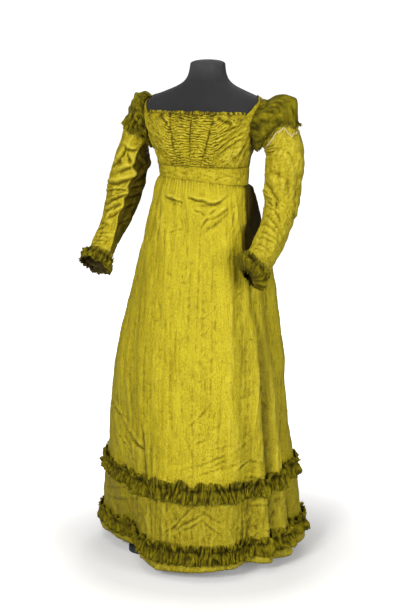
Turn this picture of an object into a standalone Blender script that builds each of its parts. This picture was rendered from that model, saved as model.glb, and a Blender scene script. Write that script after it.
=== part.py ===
"""Regency gown in silk with pleated gauze trims, on a limbless dress form.

Metres, +Z up. The gown faces -Y and its own left side is +X.
The origin is the middle of the stand's underside, on the floor.
Angles round the body are in degrees from the centre front, positive towards +X.
"""
import bpy
import bmesh
import math
from mathutils import Vector

# ---------------------------------------------------------------- driving sizes
CLOTH = 0.002             # silk wall, with its lining, measured across
SKIRT_CLOTH = 0.0024      # skirt wall, measured level
FORM_SQUARENESS = 2.4     # of the body's sections: 2 is a plain ellipse
SKIRT_SQUARENESS = 2.15
GAUZE = 0.0018            # pleated gauze wall, measured out from the body
SEAM = 0.0003             # space between two pieces along a seam
SEAM_ANGLE = 0.12         # the same space, as degrees round the bodice
LAYER = 0.0005            # space under a piece that is stitched on top of another

HEM_HEIGHT = 0.025
FORM_BOTTOM = 0.86

POLE_RADIUS = 0.0125
POLE_FLANGE_RADIUS = 0.034
POLE_FLANGE_HEIGHT = 0.008
STAND_SHIFT = -0.035      # the pole and its foot stand a little to the gown's right
BASE_REACH = 0.195        # from the pole to the end of each arm of the foot
BASE_ARM_WIDTH = 0.104
BASE_TURN = 20.0          # degrees, of the arms from the axes
BASE_THICKNESS = 0.016
BASE_EDGE = 0.002

NECK_ROW = 5              # row of the side front at the corner of the neck
RUCHE_ROWS = 2 * NECK_ROW
RUCHE_DEPTH = 0.0012
GATHER_LINES = (-1.0, -0.44, 0.0, 0.44, 1.0)   # across the ruched panel, seam to seam
PUFF_CROWN = 0.0085       # how far the silk stands up between two gather lines
CASING_HEIGHT = 0.008
CASING_SWELL = 0.0035

BUST_COLUMNS = 12         # columns across the ruched panel
SLEEVE_COLUMNS = 15
FRONT_COLUMNS = 25
SIDE_COLUMNS = 12
SIDE_FRONT_COLUMNS = 5
HALF_BACK_COLUMNS = 8
CASING_COLUMNS = 24
BAND_COLUMNS = 36
BACK_COLUMNS = 32
FORM_COLUMNS = 24

FRONT_SEAM = 62.0         # angle of the seam between front panel and side gore
BACK_SEAM = 120.0         # angle of the seam between side gore and back width
BACK_FLUTES = 8
FLUTE_TOP = 1.12          # where the flutes come out of the gathers
FLUTE_AT_BAND = 0.0045    # how deep they are
FLUTE_AT_HEM = 0.0170

UPPER_RUFFLE_HEIGHT = 0.266   # stitch line of the upper hem ruffle
LOWER_RUFFLE_HEIGHT = 0.084
RUFFLE_ABOVE = 0.019          # free edge above the stitch line
RUFFLE_BELOW = 0.036
PLEAT_COLUMNS = 3             # columns in one pleat
PLEAT_SHAPE = (0.0, 1.0, 0.38)

# ---------------------------------------------------------------- tables
# the covered torso: half widths to the sides, depths to the front and the back
FORM = (
    # height, side,  front, back,  set back
    (0.860, 0.128, 0.092, 0.108, 0.000),
    (0.930, 0.126, 0.092, 0.104, 0.000),
    (1.020, 0.118, 0.094, 0.084, 0.000),
    (1.110, 0.121, 0.101, 0.075, 0.000),
    (1.150, 0.123, 0.107, 0.079, 0.000),
    (1.190, 0.132, 0.116, 0.088, 0.000),
    (1.225, 0.147, 0.120, 0.095, 0.000),
    (1.260, 0.164, 0.117, 0.097, 0.001),
    (1.295, 0.175, 0.109, 0.093, 0.003),
    (1.325, 0.178, 0.096, 0.085, 0.006),
    (1.343, 0.169, 0.083, 0.075, 0.009),
    (1.357, 0.149, 0.073, 0.064, 0.012),
    (1.370, 0.117, 0.066, 0.056, 0.015),
    (1.383, 0.086, 0.062, 0.052, 0.018),
    (1.396, 0.066, 0.058, 0.050, 0.021),
    (1.412, 0.055, 0.054, 0.049, 0.023),
    (1.430, 0.0505, 0.049, 0.047, 0.024),
    (1.444, 0.0490, 0.047, 0.046, 0.025),
)
FORM_DOME = (
    # inset, rise
    (0.005, 0.005),
    (0.013, 0.005),
    (0.017, 0.003),
)

# room between the form and the bodice
EASE = (
    # height, room
    (1.100, 0.0040),
    (1.150, 0.0032),
    (1.190, 0.0020),
    (1.225, 0.0014),
    (1.300, 0.0016),
    (1.330, 0.0014),
    (1.370, 0.0014),
)

# the band under the bust
BAND = (
    # angle, top,  bottom
    (-180, 1.160, 1.121),
    (-90, 1.166, 1.133),
    (0, 1.167, 1.127),
    (90, 1.159, 1.107),
    (180, 1.160, 1.121),
)

# side front: inner edge along the ruched panel and the neck, outer edge down the side
# seam, then round the armhole by its own turn (90 underarm, 0 front, -90 top)
SIDE_FRONT = (
    # inner angle, inner height, outer angle, outer height, armhole turn
    (30.0, 1.167, 91.0, 1.163, None),
    (36.5, 1.191, 91.0, 1.190, None),
    (43.5, 1.221, None, None, 88.0),
    (50.5, 1.252, None, None, 52.0),
    (58.0, 1.283, None, None, 22.0),
    (64.0, 1.308, None, None, -8.0),
    (73.5, 1.332, None, None, -36.0),
    (86.0, 1.352, None, None, -63.0),
    (98.0, 1.358, None, None, -92.0),
    (109.0, 1.352, None, None, -118.0),
    (119.0, 1.332, None, None, -142.0),
    (126.0, 1.3046, None, None, -158.0),
)

# half back: from the centre back out to the side seam, the armhole and the strap
HALF_BACK = (
    # centre height, outer angle, outer height, armhole turn
    (1.161, 91.0, 1.163, None),
    (1.190, 91.0, 1.190, None),
    (1.222, None, None, 92.0),
    (1.256, None, None, 130.0),
    (1.286, None, None, 168.0),
    (1.314, None, None, 200.5),
)

ARMHOLE_ANGLE = 91.0      # middle of the armhole round the body
ARMHOLE_SPREAD = 20.5     # degrees to its front and back edges
ARMHOLE_HEIGHT = 1.280
ARMHOLE_HALF_HEIGHT = 0.059
ARMHOLE_SHRINK = 0.0014   # the sleeve starts this far inside the armhole
METRES_PER_DEGREE = 0.0026    # round the side of the body
PUFF_TOP = -90.0          # turn round the sleeve where an over-sleeve stands highest
PUFF_TOP_SPREAD = 48.0

# skirt sections: the gown's right is -X
SKIRT_TURN = 5.0          # the skirt hangs turned this far towards +X
SKIRT_TURN_TOP = 1.11     # no turn from here up
SKIRT_TURN_FULL = 1.00
SKIRT = (
    # height, right, left,  front, back,  back corners
    (1.133, 0.1320, 0.1305, 0.1170, 0.086, 0.000),
    (1.100, 0.141, 0.131, 0.118, 0.102, 0.004),
    (1.050, 0.152, 0.134, 0.120, 0.136, 0.010),
    (1.000, 0.164, 0.138, 0.125, 0.168, 0.014),
    (0.900, 0.187, 0.148, 0.146, 0.202, 0.020),
    (0.800, 0.210, 0.164, 0.164, 0.226, 0.022),
    (0.650, 0.246, 0.188, 0.189, 0.254, 0.016),
    (0.500, 0.279, 0.208, 0.209, 0.276, 0.008),
    (0.350, 0.305, 0.226, 0.227, 0.298, 0.002),
    (0.200, 0.326, 0.242, 0.244, 0.318, 0.002),
    (0.087, 0.340, 0.256, 0.256, 0.332, 0.002),
    (0.025, 0.347, 0.262, 0.260, 0.340, 0.002),
)
BACK_CORNER = 117.0       # angle of the fullest part on each side of the back
BACK_CORNER_SPREAD = 15.0

# folds of the skirt: out is positive, and each grows from its top down to the hem
FOLDS = (
    # angle, spread, hem depth, top, curve
    (-62.0, 17.0, -0.128, 0.66, 1.5),
    (-88.0, 7.0, -0.022, 0.50, 1.0),
    (-99.0, 7.0, 0.016, 0.95, 0.8),
    (-33.0, 8.5, -0.019, 0.80, 1.0),
    (-12.0, 8.0, 0.008, 0.60, 1.0),
    (14.0, 9.0, 0.012, 0.45, 1.0),
    (35.0, 6.0, 0.010, 1.00, 0.4),
    (45.0, 9.0, -0.040, 0.36, 1.0),
    (60.0, 4.5, 0.012, 1.05, 0.3),
    (69.0, 5.0, -0.026, 1.00, 0.5),
    (82.0, 5.5, 0.014, 0.95, 0.5),
    (96.0, 6.0, -0.016, 0.90, 0.7),
    (112.0, 9.0, 0.026, 1.08, 0.4),
    (-116.0, 9.0, 0.018, 1.05, 0.5),
)

# where the hem is lifted a little
HEM_LIFTS = (
    # angle, spread, rise
    (48.0, 9.0, 0.007),
    (24.0, 13.0, 0.009),
    (-84.0, 14.0, 0.006),
)

# rows of the skirt, from the band to the hem; the two stitch lines are rows as well
SKIRT_ROWS = (1.085, 1.040, 0.970, 0.870, 0.750, 0.620, 0.490, 0.360,
              UPPER_RUFFLE_HEIGHT, 0.180, LOWER_RUFFLE_HEIGHT)

# sleeve rings: the under and the outer point of each, out from the middle of the body
LEFT_SLEEVE = (
    # under out, under z, outer out, outer z, y, half depth
    (0.160, 1.218, 0.206, 1.338, 0.007, 0.0545),
    (0.167, 1.215, 0.242, 1.323, 0.012, 0.0550),
    (0.173, 1.210, 0.266, 1.277, 0.018, 0.0550),
    (0.178, 1.193, 0.283, 1.225, 0.023, 0.0550),
    (0.178, 1.160, 0.287, 1.175, 0.025, 0.0540),
    (0.172, 1.117, 0.281, 1.124, 0.030, 0.0530),
    (0.170, 1.081, 0.274, 1.073, 0.030, 0.0520),
    (0.176, 1.048, 0.267, 1.027, 0.019, 0.0500),
    (0.178, 1.012, 0.260, 0.985, -0.016, 0.0460),
    (0.175, 0.974, 0.252, 0.940, -0.060, 0.0430),
    (0.169, 0.941, 0.239, 0.902, -0.099, 0.0400),
    (0.160, 0.917, 0.221, 0.869, -0.127, 0.0380),
)
RIGHT_SLEEVE = (
    # under out, under z, outer out, outer z, y, half depth
    (0.160, 1.218, 0.201, 1.338, -0.003, 0.0545),
    (0.165, 1.215, 0.215, 1.321, -0.007, 0.0550),
    (0.168, 1.210, 0.230, 1.281, -0.012, 0.0550),
    (0.170, 1.193, 0.247, 1.238, -0.015, 0.0550),
    (0.164, 1.157, 0.271, 1.176, -0.014, 0.0540),
    (0.180, 1.110, 0.291, 1.117, -0.011, 0.0530),
    (0.191, 1.073, 0.295, 1.075, -0.010, 0.0510),
    (0.205, 1.037, 0.300, 1.034, -0.017, 0.0490),
    (0.219, 0.990, 0.304, 0.991, -0.045, 0.0445),
    (0.230, 0.948, 0.309, 0.950, -0.076, 0.0410),
    (0.240, 0.910, 0.315, 0.917, -0.108, 0.0385),
    (0.249, 0.878, 0.320, 0.893, -0.133, 0.0370),
)

# gauze over-sleeves: how far each stands out from the sleeve's own rings
LEFT_PUFF = (
    # sleeve ring, stand-out, extra on the outer top, wave
    (0.15, 0.0006, 0.0030, 0.0000),
    (0.60, 0.0050, 0.0110, 0.0010),
    (1.10, 0.0080, 0.0180, 0.0020),
    (1.70, 0.0095, 0.0250, 0.0035),
    (2.25, 0.0095, 0.0200, 0.0040),
    (2.80, 0.0060, 0.0030, 0.0035),
    (3.10, 0.0008, 0.0000, 0.0040),
    (3.30, 0.0060, 0.0000, 0.0085),
)
RIGHT_PUFF = (
    # sleeve ring, stand-out, extra on the outer top, wave
    (0.15, 0.0006, 0.0050, 0.0000),
    (0.60, 0.0050, 0.0130, 0.0010),
    (1.10, 0.0070, 0.0125, 0.0020),
    (1.70, 0.0080, 0.0130, 0.0035),
    (2.25, 0.0080, 0.0090, 0.0040),
    (2.80, 0.0060, 0.0020, 0.0035),
    (3.10, 0.0008, 0.0000, 0.0040),
    (3.30, 0.0060, 0.0000, 0.0080),
)

# wrist ruffle: rings of the sleeve, the last one past its end
CUFF = (
    # sleeve ring, stand-out, extra on the outer top, wave
    (11.50, 0.0070, 0.0, 0.0080),
    (11.75, 0.0006, 0.0, 0.0040),
    (12.20, 0.0080, 0.0, 0.0100),
    (12.55, 0.0120, 0.0, 0.0130),
)

SILK = (0.52, 0.42, 0.035)
GAUZE_GREEN = (0.115, 0.085, 0.006)
FORM_GREY = (0.045, 0.045, 0.050)
STAND_PAINT = (0.028, 0.034, 0.040)


# ---------------------------------------------------------------- reading the tables
def table_value(rows, column, at):
    """Smooth curve through one column of a table, read at a value of its first column."""
    if rows[0][0] > rows[-1][0]:
        rows = rows[::-1]
    if at <= rows[0][0]:
        return rows[0][column]
    if at >= rows[-1][0]:
        return rows[-1][column]
    index = 0
    while rows[index + 1][0] < at:
        index += 1

    def slope(k):
        before = max(k - 1, 0)
        after = min(k + 1, len(rows) - 1)
        return (rows[after][column] - rows[before][column]) / (rows[after][0] - rows[before][0])

    step = rows[index + 1][0] - rows[index][0]
    t = (at - rows[index][0]) / step
    start = rows[index][column]
    end = rows[index + 1][column]
    return ((2 * t ** 3 - 3 * t ** 2 + 1) * start + (t ** 3 - 2 * t ** 2 + t) * step * slope(index)
            + (3 * t ** 2 - 2 * t ** 3) * end + (t ** 3 - t ** 2) * step * slope(index + 1))


def around(angle):
    """An angle brought to -180..180."""
    return (angle + 180.0) % 360.0 - 180.0


def bump(angle, middle, spread):
    """A rounded hill, 1 at its middle, that fades over its spread."""
    return math.exp(-(around(angle - middle) / spread) ** 2 / 2)


def oval(angle, side, front, back, squareness):
    """Distance from the middle to an oval section, at an angle from the front."""
    turn = math.radians(angle)
    depth = front if math.cos(turn) > 0 else back
    across = abs(math.sin(turn)) / side
    along = abs(math.cos(turn)) / depth
    return (across ** squareness + along ** squareness) ** (-1 / squareness)


def polar(angle, reach, height):
    turn = math.radians(angle)
    return Vector((reach * math.sin(turn), -reach * math.cos(turn), height))


# ---------------------------------------------------------------- the body under the bodice
def form_point(angle, height):
    side, front, back, set_back = [table_value(FORM, column, height) for column in (1, 2, 3, 4)]
    reach = oval(angle, side, front, back, FORM_SQUARENESS)
    return polar(angle, reach, height) + Vector((0.0, set_back, 0.0))


def form_normal(angle, height):
    step = 0.6
    rise = 0.002
    round_body = form_point(angle + step, height) - form_point(angle - step, height)
    upward = form_point(angle, height + rise) - form_point(angle, height - rise)
    return round_body.cross(upward).normalized()


def over_form(angle, height, extra=0.0):
    """A point of the bodice: the form's surface, its ease, and any thickness on top."""
    room = table_value(EASE, 1, height) + extra
    return form_point(angle, height) + form_normal(angle, height) * room


def armhole(turn, shrink=0.0):
    """Angle and height of the armhole's edge: turn 0 is its front, 90 the underarm."""
    t = math.radians(turn)
    spread = ARMHOLE_SPREAD - shrink / METRES_PER_DEGREE
    return (ARMHOLE_ANGLE - spread * math.cos(t),
            ARMHOLE_HEIGHT - (ARMHOLE_HALF_HEIGHT - shrink) * math.sin(t))


def band_top(angle):
    return table_value(BAND, 1, around(angle))


def band_bottom(angle):
    return table_value(BAND, 2, around(angle))


# ---------------------------------------------------------------- the skirt
def skirt_reach(angle, height):
    """Distance from the middle to the outside of the skirt."""
    side = table_value(SKIRT, 2 if around(angle) > 0 else 1, height)
    front = table_value(SKIRT, 3, height)
    back = table_value(SKIRT, 4, height)
    reach = oval(around(angle), side, front, back, SKIRT_SQUARENESS)
    for middle, spread, depth, top, curve in FOLDS:
        if height < top:
            grown = ((top - height) / (top - HEM_HEIGHT)) ** curve
            reach += depth * grown * bump(angle, middle, spread)
    corner = bump(abs(around(angle)), BACK_CORNER, BACK_CORNER_SPREAD)
    return reach + table_value(SKIRT, 5, height) * corner + back_flutes(angle, height)


def skirt_point(angle, height, inward=0.0):
    """A point on the skirt's outside, or that far inside it."""
    part = min(max((SKIRT_TURN_TOP - height) / (SKIRT_TURN_TOP - SKIRT_TURN_FULL), 0.0), 1.0)
    return polar(angle + SKIRT_TURN * part, skirt_reach(angle, height) - inward, height)


def back_flutes(angle, height):
    """Rounded flutes of the gathered back width."""
    room = 360.0 - 2 * BACK_SEAM
    along = (angle % 360.0 - BACK_SEAM) / room
    if along <= 0 or along >= 1:
        return 0.0
    fall = min(max((FLUTE_TOP - height) / (FLUTE_TOP - HEM_HEIGHT), 0.0), 1.0)
    size = FLUTE_AT_BAND + (FLUTE_AT_HEM - FLUTE_AT_BAND) * fall
    uneven = 1.0 + 0.25 * math.sin(5.1 * along * math.pi + 0.7)
    fade = min(1.0, 6 * along, 6 * (1 - along))
    along += 0.012 * math.sin(4.6 * math.pi * along + 0.4) * min(1.0, 5 * along, 5 * (1 - along))
    return size * uneven * fade * (0.35 - math.cos(2 * math.pi * BACK_FLUTES * along))


def hem_height(angle):
    return HEM_HEIGHT + sum(rise * bump(angle, middle, spread) for middle, spread, rise in HEM_LIFTS)


def skirt_columns():
    """Angles of every column of the whole skirt, from the right front seam round to it again."""
    angles = [-FRONT_SEAM + 2 * FRONT_SEAM * k / FRONT_COLUMNS for k in range(FRONT_COLUMNS)]
    gore = BACK_SEAM - FRONT_SEAM
    angles += [FRONT_SEAM + gore * k / SIDE_COLUMNS for k in range(SIDE_COLUMNS)]
    back = 360 - 2 * BACK_SEAM
    angles += [BACK_SEAM + back * k / BACK_COLUMNS for k in range(BACK_COLUMNS)]
    angles += [360 - BACK_SEAM + gore * k / SIDE_COLUMNS for k in range(SIDE_COLUMNS)]
    return angles


ANGLES = skirt_columns()
COLUMNS = len(ANGLES)


def skirt_rows(angle):
    """Heights of a column's points, from just under the band to the hem."""
    return (band_bottom(angle) - SEAM * 2,) + SKIRT_ROWS + (hem_height(angle),)


def skirt_corner(column, row, inward=0.0):
    """A corner of the skirt's outside, shared by all that is stitched on it."""
    angle = ANGLES[column % COLUMNS]
    return skirt_point(angle, skirt_rows(angle)[row], inward)


def on_skirt(column, height):
    """A point on the skirt's outside between its corners, at a fraction of a column."""
    first = math.floor(column)
    part = column - first
    row = 1
    while row <= len(SKIRT_ROWS) and SKIRT_ROWS[row - 1] > height:
        row += 1
    above = skirt_corner(first, row - 1).lerp(skirt_corner(first + 1, row - 1), part)
    below = skirt_corner(first, row).lerp(skirt_corner(first + 1, row), part)
    return above.lerp(below, (above.z - height) / (above.z - below.z))


# ---------------------------------------------------------------- making cloth
def material(name, colour, roughness, metallic=0.0):
    made = bpy.data.materials.new(name)
    made.use_nodes = True
    shader = made.node_tree.nodes["Principled BSDF"]
    shader.inputs["Base Color"].default_value = (*colour, 1.0)
    shader.inputs["Roughness"].default_value = roughness
    shader.inputs["Metallic"].default_value = metallic
    made.diffuse_color = (*colour, 1.0)
    return made


def finish(name, bm, look, sharp=50.0):
    """Close a bmesh into a named object with its material."""
    bmesh.ops.recalc_face_normals(bm, faces=bm.faces[:])
    mesh = bpy.data.meshes.new(name)
    bm.to_mesh(mesh)
    bm.free()
    mesh.shade_smooth()
    mesh.set_sharp_from_angle(angle=math.radians(sharp))
    mesh.materials.append(look)
    made = bpy.data.objects.new(name, mesh)
    bpy.context.scene.collection.objects.link(made)
    return made


def cloth(name, columns, rows, inside, outside, look, closed=False):
    """A wall of cloth from a grid: inside and outside give a point for a column and a row."""
    bm = bmesh.new()
    bmesh.ops.create_grid(bm, x_segments=columns, y_segments=rows, size=0.5)
    bmesh.ops.triangulate(bm, faces=bm.faces[:], quad_method="FIXED")
    column_of = bm.verts.layers.int.new("column")
    row_of = bm.verts.layers.int.new("row")
    for vert in bm.verts:
        vert[column_of] = round((vert.co.x + 0.5) * columns)
        vert[row_of] = round((vert.co.y + 0.5) * rows)
        if closed:
            vert[column_of] %= columns
        vert.co = inside(vert[column_of], vert[row_of])
    if closed:
        bmesh.ops.remove_doubles(bm, verts=bm.verts[:], dist=1e-6)
    grown = bmesh.ops.extrude_face_region(bm, geom=bm.faces[:])
    for vert in grown["geom"]:
        if isinstance(vert, bmesh.types.BMVert):
            vert.co = outside(vert[column_of], vert[row_of])
    return finish(name, bm, look)


# ---------------------------------------------------------------- bodice
def between(start, end, part):
    return tuple(a * (1 - part) + b * part for a, b in zip(start, end))


def outer_edge(first, second, part):
    """The edge down the side seam, or along the armhole where both ends are on it."""
    turns = (first[2], second[2])
    if None not in turns:
        return armhole(turns[0] * (1 - part) + turns[1] * part)
    ends = [row[:2] if row[2] is None else armhole(row[2]) for row in (first, second)]
    return between(ends[0], ends[1], part)


def side_front_edges(row):
    """Angle and height of the side front's inner and outer edge, at a fraction of a row."""
    low = min(math.floor(row), len(SIDE_FRONT) - 2)
    first = SIDE_FRONT[low]
    second = SIDE_FRONT[low + 1]
    inner = between(first[:2], second[:2], row - low)
    return inner, outer_edge(first[2:], second[2:], row - low)


def make_side_front(side, silk):
    def place(column, row):
        inner, outer = side_front_edges(row / 2)
        inner = (inner[0] + SEAM_ANGLE, inner[1])
        outer = (outer[0] - SEAM_ANGLE * (row < 5), outer[1])
        angle, height = between(inner, outer, column / SIDE_FRONT_COLUMNS)
        if row == 0:
            height = band_top(side * angle) + SEAM * 2
        return side * angle, height

    name = "bodice_side_front_" + ("left" if side > 0 else "right")
    return cloth(name, SIDE_FRONT_COLUMNS, 2 * (len(SIDE_FRONT) - 1),
                 lambda c, r: over_form(*place(c, r)),
                 lambda c, r: over_form(*place(c, r), CLOTH), silk)


def make_half_back(side, silk):
    rows = 2 * (len(HALF_BACK) - 1)

    def place(column, row):
        low = min(row // 2, len(HALF_BACK) - 2)
        first = HALF_BACK[low]
        second = HALF_BACK[low + 1]
        part = row / 2 - low
        inner = (180.0 - SEAM_ANGLE, first[0] * (1 - part) + second[0] * part)
        outer = outer_edge(first[1:], second[1:], part)
        outer = (outer[0] + SEAM_ANGLE * (2 if row == rows else row < 5), outer[1])
        angle, height = between(inner, outer, column / HALF_BACK_COLUMNS)
        if row == 0:
            height = band_top(side * angle) + SEAM * 2
        return side * angle, height

    name = "bodice_back_" + ("left" if side > 0 else "right")
    return cloth(name, HALF_BACK_COLUMNS, rows,
                 lambda c, r: over_form(*place(c, r)),
                 lambda c, r: over_form(*place(c, r), CLOTH), silk)


def ruched_place(across, up):
    """Angle and height in the ruched panel: across -1..1, up 0..1 along the side fronts."""
    (reach, height), _ = side_front_edges(up * NECK_ROW)
    angle = (reach - SEAM_ANGLE) * across
    if up == 0:
        height = band_top(angle) + SEAM * 2
    return angle, height


def ruched_height(across, up):
    """How far the gathered silk stands up from the plain lining under it."""
    for k in range(len(GATHER_LINES) - 1):
        if GATHER_LINES[k] <= across <= GATHER_LINES[k + 1]:
            part = (across - GATHER_LINES[k]) / (GATHER_LINES[k + 1] - GATHER_LINES[k])
    crown = PUFF_CROWN * math.sin(math.pi * part) ** 0.8 if 0 < part < 1 else 0.0
    fade = min(1.0, 0.35 + 2.2 * up, 6.0 * (1.03 - up))
    return crown * fade


def make_centre_front(silk):
    def place(column, row):
        return ruched_place(-1 + 2 * column / BUST_COLUMNS, row / RUCHE_ROWS)

    def outside(column, row):
        up = row / RUCHE_ROWS
        raised = ruched_height(-1 + 2 * column / BUST_COLUMNS, up)
        if 0 < row < RUCHE_ROWS and raised > 0:
            raised += RUCHE_DEPTH * (1 if (row + (column // 3)) % 2 else -1)
        return over_form(*place(column, row), CLOTH + raised)

    return cloth("bodice_centre_front", BUST_COLUMNS, RUCHE_ROWS,
                 lambda c, r: over_form(*place(c, r)), outside, silk)


def make_casing(silk):
    """The narrow gathered casing that finishes the front neck edge."""
    rows = 2
    (reach, neck_height), _ = side_front_edges(NECK_ROW)

    def place(column, row):
        angle = (reach - 4 * SEAM_ANGLE) * (-1 + 2 * column / CASING_COLUMNS)
        return angle, neck_height + 2 * SEAM + CASING_HEIGHT * row / rows

    def outside(column, row):
        swell = CASING_SWELL * (0.4, 1.0, 0.3)[row]
        gather = 0.0010 * (1 if column % 2 else -1)
        return over_form(*place(column, row), CLOTH + swell + gather)

    return cloth("neckline_casing", CASING_COLUMNS, rows,
                 lambda c, r: over_form(*place(c, r)), outside, silk)


def make_waistband(silk):
    rows = 2

    def outside(column, row):
        angle = -180 + 360 * column / BAND_COLUMNS
        low = band_bottom(angle)
        return over_form(angle, low + (band_top(angle) - low) * row / rows, CLOTH)

    def inside(column, row):
        return outside(column, row) - polar(-180 + 360 * column / BAND_COLUMNS, CLOTH, 0.0)

    return cloth("waistband", BAND_COLUMNS, rows, inside, outside, silk, closed=True)


# ---------------------------------------------------------------- skirt pieces
def make_skirt_piece(name, first, last, silk):
    """A panel of the skirt between two of its columns."""
    rows = len(SKIRT_ROWS) + 1
    columns = last - first

    def corner(column, row, inward):
        point = skirt_corner(first + column, row, inward)
        along = Vector((-point.y, point.x, 0.0)).normalized()
        if column == 0:
            point += along * SEAM / 2
        if column == columns:
            point -= along * SEAM / 2
        return point

    return cloth(name, columns, rows,
                 lambda c, r: corner(c, r, SKIRT_CLOTH),
                 lambda c, r: corner(c, r, 0.0), silk)


def pleat(column, total):
    """Uneven knife pleats: 0 in the valley, up to 1 on the crest."""
    uneven = 0.82 + 0.18 * math.sin(2.399 * (column // PLEAT_COLUMNS) + 0.3 * total)
    return PLEAT_SHAPE[column % PLEAT_COLUMNS] * uneven


def make_hem_ruffle(name, stitch, gauze):
    """A strip of pleated gauze, stitched below its top edge, with both edges free."""
    columns = COLUMNS * 2
    rows = (
        # rise over the stitch line, stand-out, wave
        (RUFFLE_ABOVE, 0.0050, 0.0110),
        (0.0, LAYER, 0.0045),
        (-RUFFLE_BELOW, 0.0055, 0.0125),
    )

    def inside(column, row):
        rise, stand, wave = rows[row]
        height = stitch + rise - 0.004 * pleat(column, 5) * (1 if rise else 0)
        base = on_skirt(column / 2, height)
        out = Vector((base.x, base.y, 0.0)).normalized()
        return base + out * (stand + wave * pleat(column, 3))

    def outside(column, row):
        point = inside(column, row)
        out = Vector((point.x, point.y, 0.0)).normalized()
        return point + out * GAUZE

    return cloth(name, columns, 2, inside, outside, gauze, closed=True)


# ---------------------------------------------------------------- sleeves
def sleeve_frames(rows):
    """Middle, half across (towards the underside) and front of each ring, on the +X side."""
    middles = [Vector(((row[0] + row[2]) / 2, row[4], (row[1] + row[3]) / 2)) for row in rows]
    frames = []
    for k, row in enumerate(rows):
        along = middles[min(k + 1, len(rows) - 1)] - middles[max(k - 1, 0)]
        along.normalize()
        across = Vector(((row[0] - row[2]) / 2, 0.0, (row[1] - row[3]) / 2))
        front = Vector((0.0, -1.0, 0.0))
        front = (front - along * front.dot(along)).normalized()
        frames.append((middles[k], across, front * row[5]))
    return frames


def sleeve_ring(frames, turn, ring):
    """Outside of the sleeve on a ring; ring 0 is the armhole seam on the body."""
    t = math.radians(turn)
    if ring == 0:
        return over_form(*armhole(turn, ARMHOLE_SHRINK), CLOTH * 0.7)
    middle, across, front = frames[ring - 1]
    return middle + across * math.sin(t) + front * math.cos(t)


def sleeve_outside(frames, column, ring):
    """Outside of the sleeve at a fraction of a column and of a ring, past its end too."""
    first = math.floor(column)
    step = 360.0 / SLEEVE_COLUMNS
    low = min(math.floor(ring), len(frames) - 1)

    def edge(k):
        start = sleeve_ring(frames, first * step, k)
        return start.lerp(sleeve_ring(frames, (first + 1) * step, k), column - first)

    return edge(low) + (edge(low + 1) - edge(low)) * (ring - low)


def sleeve_middle(frames, ring):
    low = min(math.floor(ring), len(frames) - 1)
    middles = [over_form(ARMHOLE_ANGLE, ARMHOLE_HEIGHT)] + [frame[0] for frame in frames]
    return middles[low] + (middles[low + 1] - middles[low]) * (ring - low)


def mirrored(point, side):
    return Vector((point.x * side, point.y, point.z))


def make_sleeve(side, rows, silk):
    frames = sleeve_frames(rows)
    step = 360.0 / SLEEVE_COLUMNS

    def outside(column, ring):
        return mirrored(sleeve_ring(frames, column * step, ring), side)

    def inside(column, ring):
        point = sleeve_ring(frames, column * step, ring)
        inward = (sleeve_middle(frames, ring) - point).normalized()
        return mirrored(point + inward * CLOTH, side)

    name = "sleeve_" + ("left" if side > 0 else "right")
    return cloth(name, SLEEVE_COLUMNS, len(rows), inside, outside, silk, closed=True)


def make_over_sleeve(name, side, rows, profile, gauze):
    """Gauze round the sleeve, made from the sleeve's own points moved out."""
    frames = sleeve_frames(rows)
    columns = SLEEVE_COLUMNS * 2

    def lifted(column, row, extra):
        ring, stand, top, wave = profile[row]
        base = sleeve_outside(frames, column / 2, ring)
        out = (base - sleeve_middle(frames, ring)).normalized()
        top *= bump(column * 360.0 / columns, PUFF_TOP, PUFF_TOP_SPREAD)
        return mirrored(base + out * (stand + top + wave * pleat(column, 4) + extra), side)

    return cloth(name, columns, len(profile) - 1,
                 lambda c, r: lifted(c, r, 0.0),
                 lambda c, r: lifted(c, r, GAUZE), gauze, closed=True)


# ---------------------------------------------------------------- form and stand
def make_form(cover):
    """Covered torso and neck, closed flat below and gently domed on top."""
    bm = bmesh.new()
    start = bmesh.ops.create_circle(bm, segments=FORM_COLUMNS, radius=1.0, cap_ends=True)
    ring = start["verts"]
    turns = {vert: math.atan2(vert.co.x, -vert.co.y) for vert in ring}

    def shape(verts, height):
        side, front, back, set_back = [table_value(FORM, column, height) for column in (1, 2, 3, 4)]
        for vert in verts:
            turn = turns[vert]
            across = math.copysign(abs(math.sin(turn)) ** (2 / FORM_SQUARENESS), math.sin(turn))
            along = math.copysign(abs(math.cos(turn)) ** (2 / FORM_SQUARENESS), math.cos(turn))
            depth = front if along > 0 else back
            vert.co = (across * side, set_back - along * depth, height)

    shape(ring, FORM[0][0])
    face = bm.faces[:][0]
    for row in FORM[1:]:
        under = {vert.co.to_tuple(): turns[vert] for vert in face.verts}
        grown = bmesh.ops.extrude_face_region(bm, geom=[face] + face.edges[:] + face.verts[:])
        face = [item for item in grown["geom"] if isinstance(item, bmesh.types.BMFace)][0]
        for vert in face.verts:
            turns[vert] = under[vert.co.to_tuple()]
        shape(face.verts, row[0])
    for inset, rise in FORM_DOME:
        bmesh.ops.inset_individual(bm, faces=[face], thickness=inset)
        for vert in face.verts:
            vert.co.z += rise
    return finish("dress_form", bm, cover, 40.0)


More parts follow.
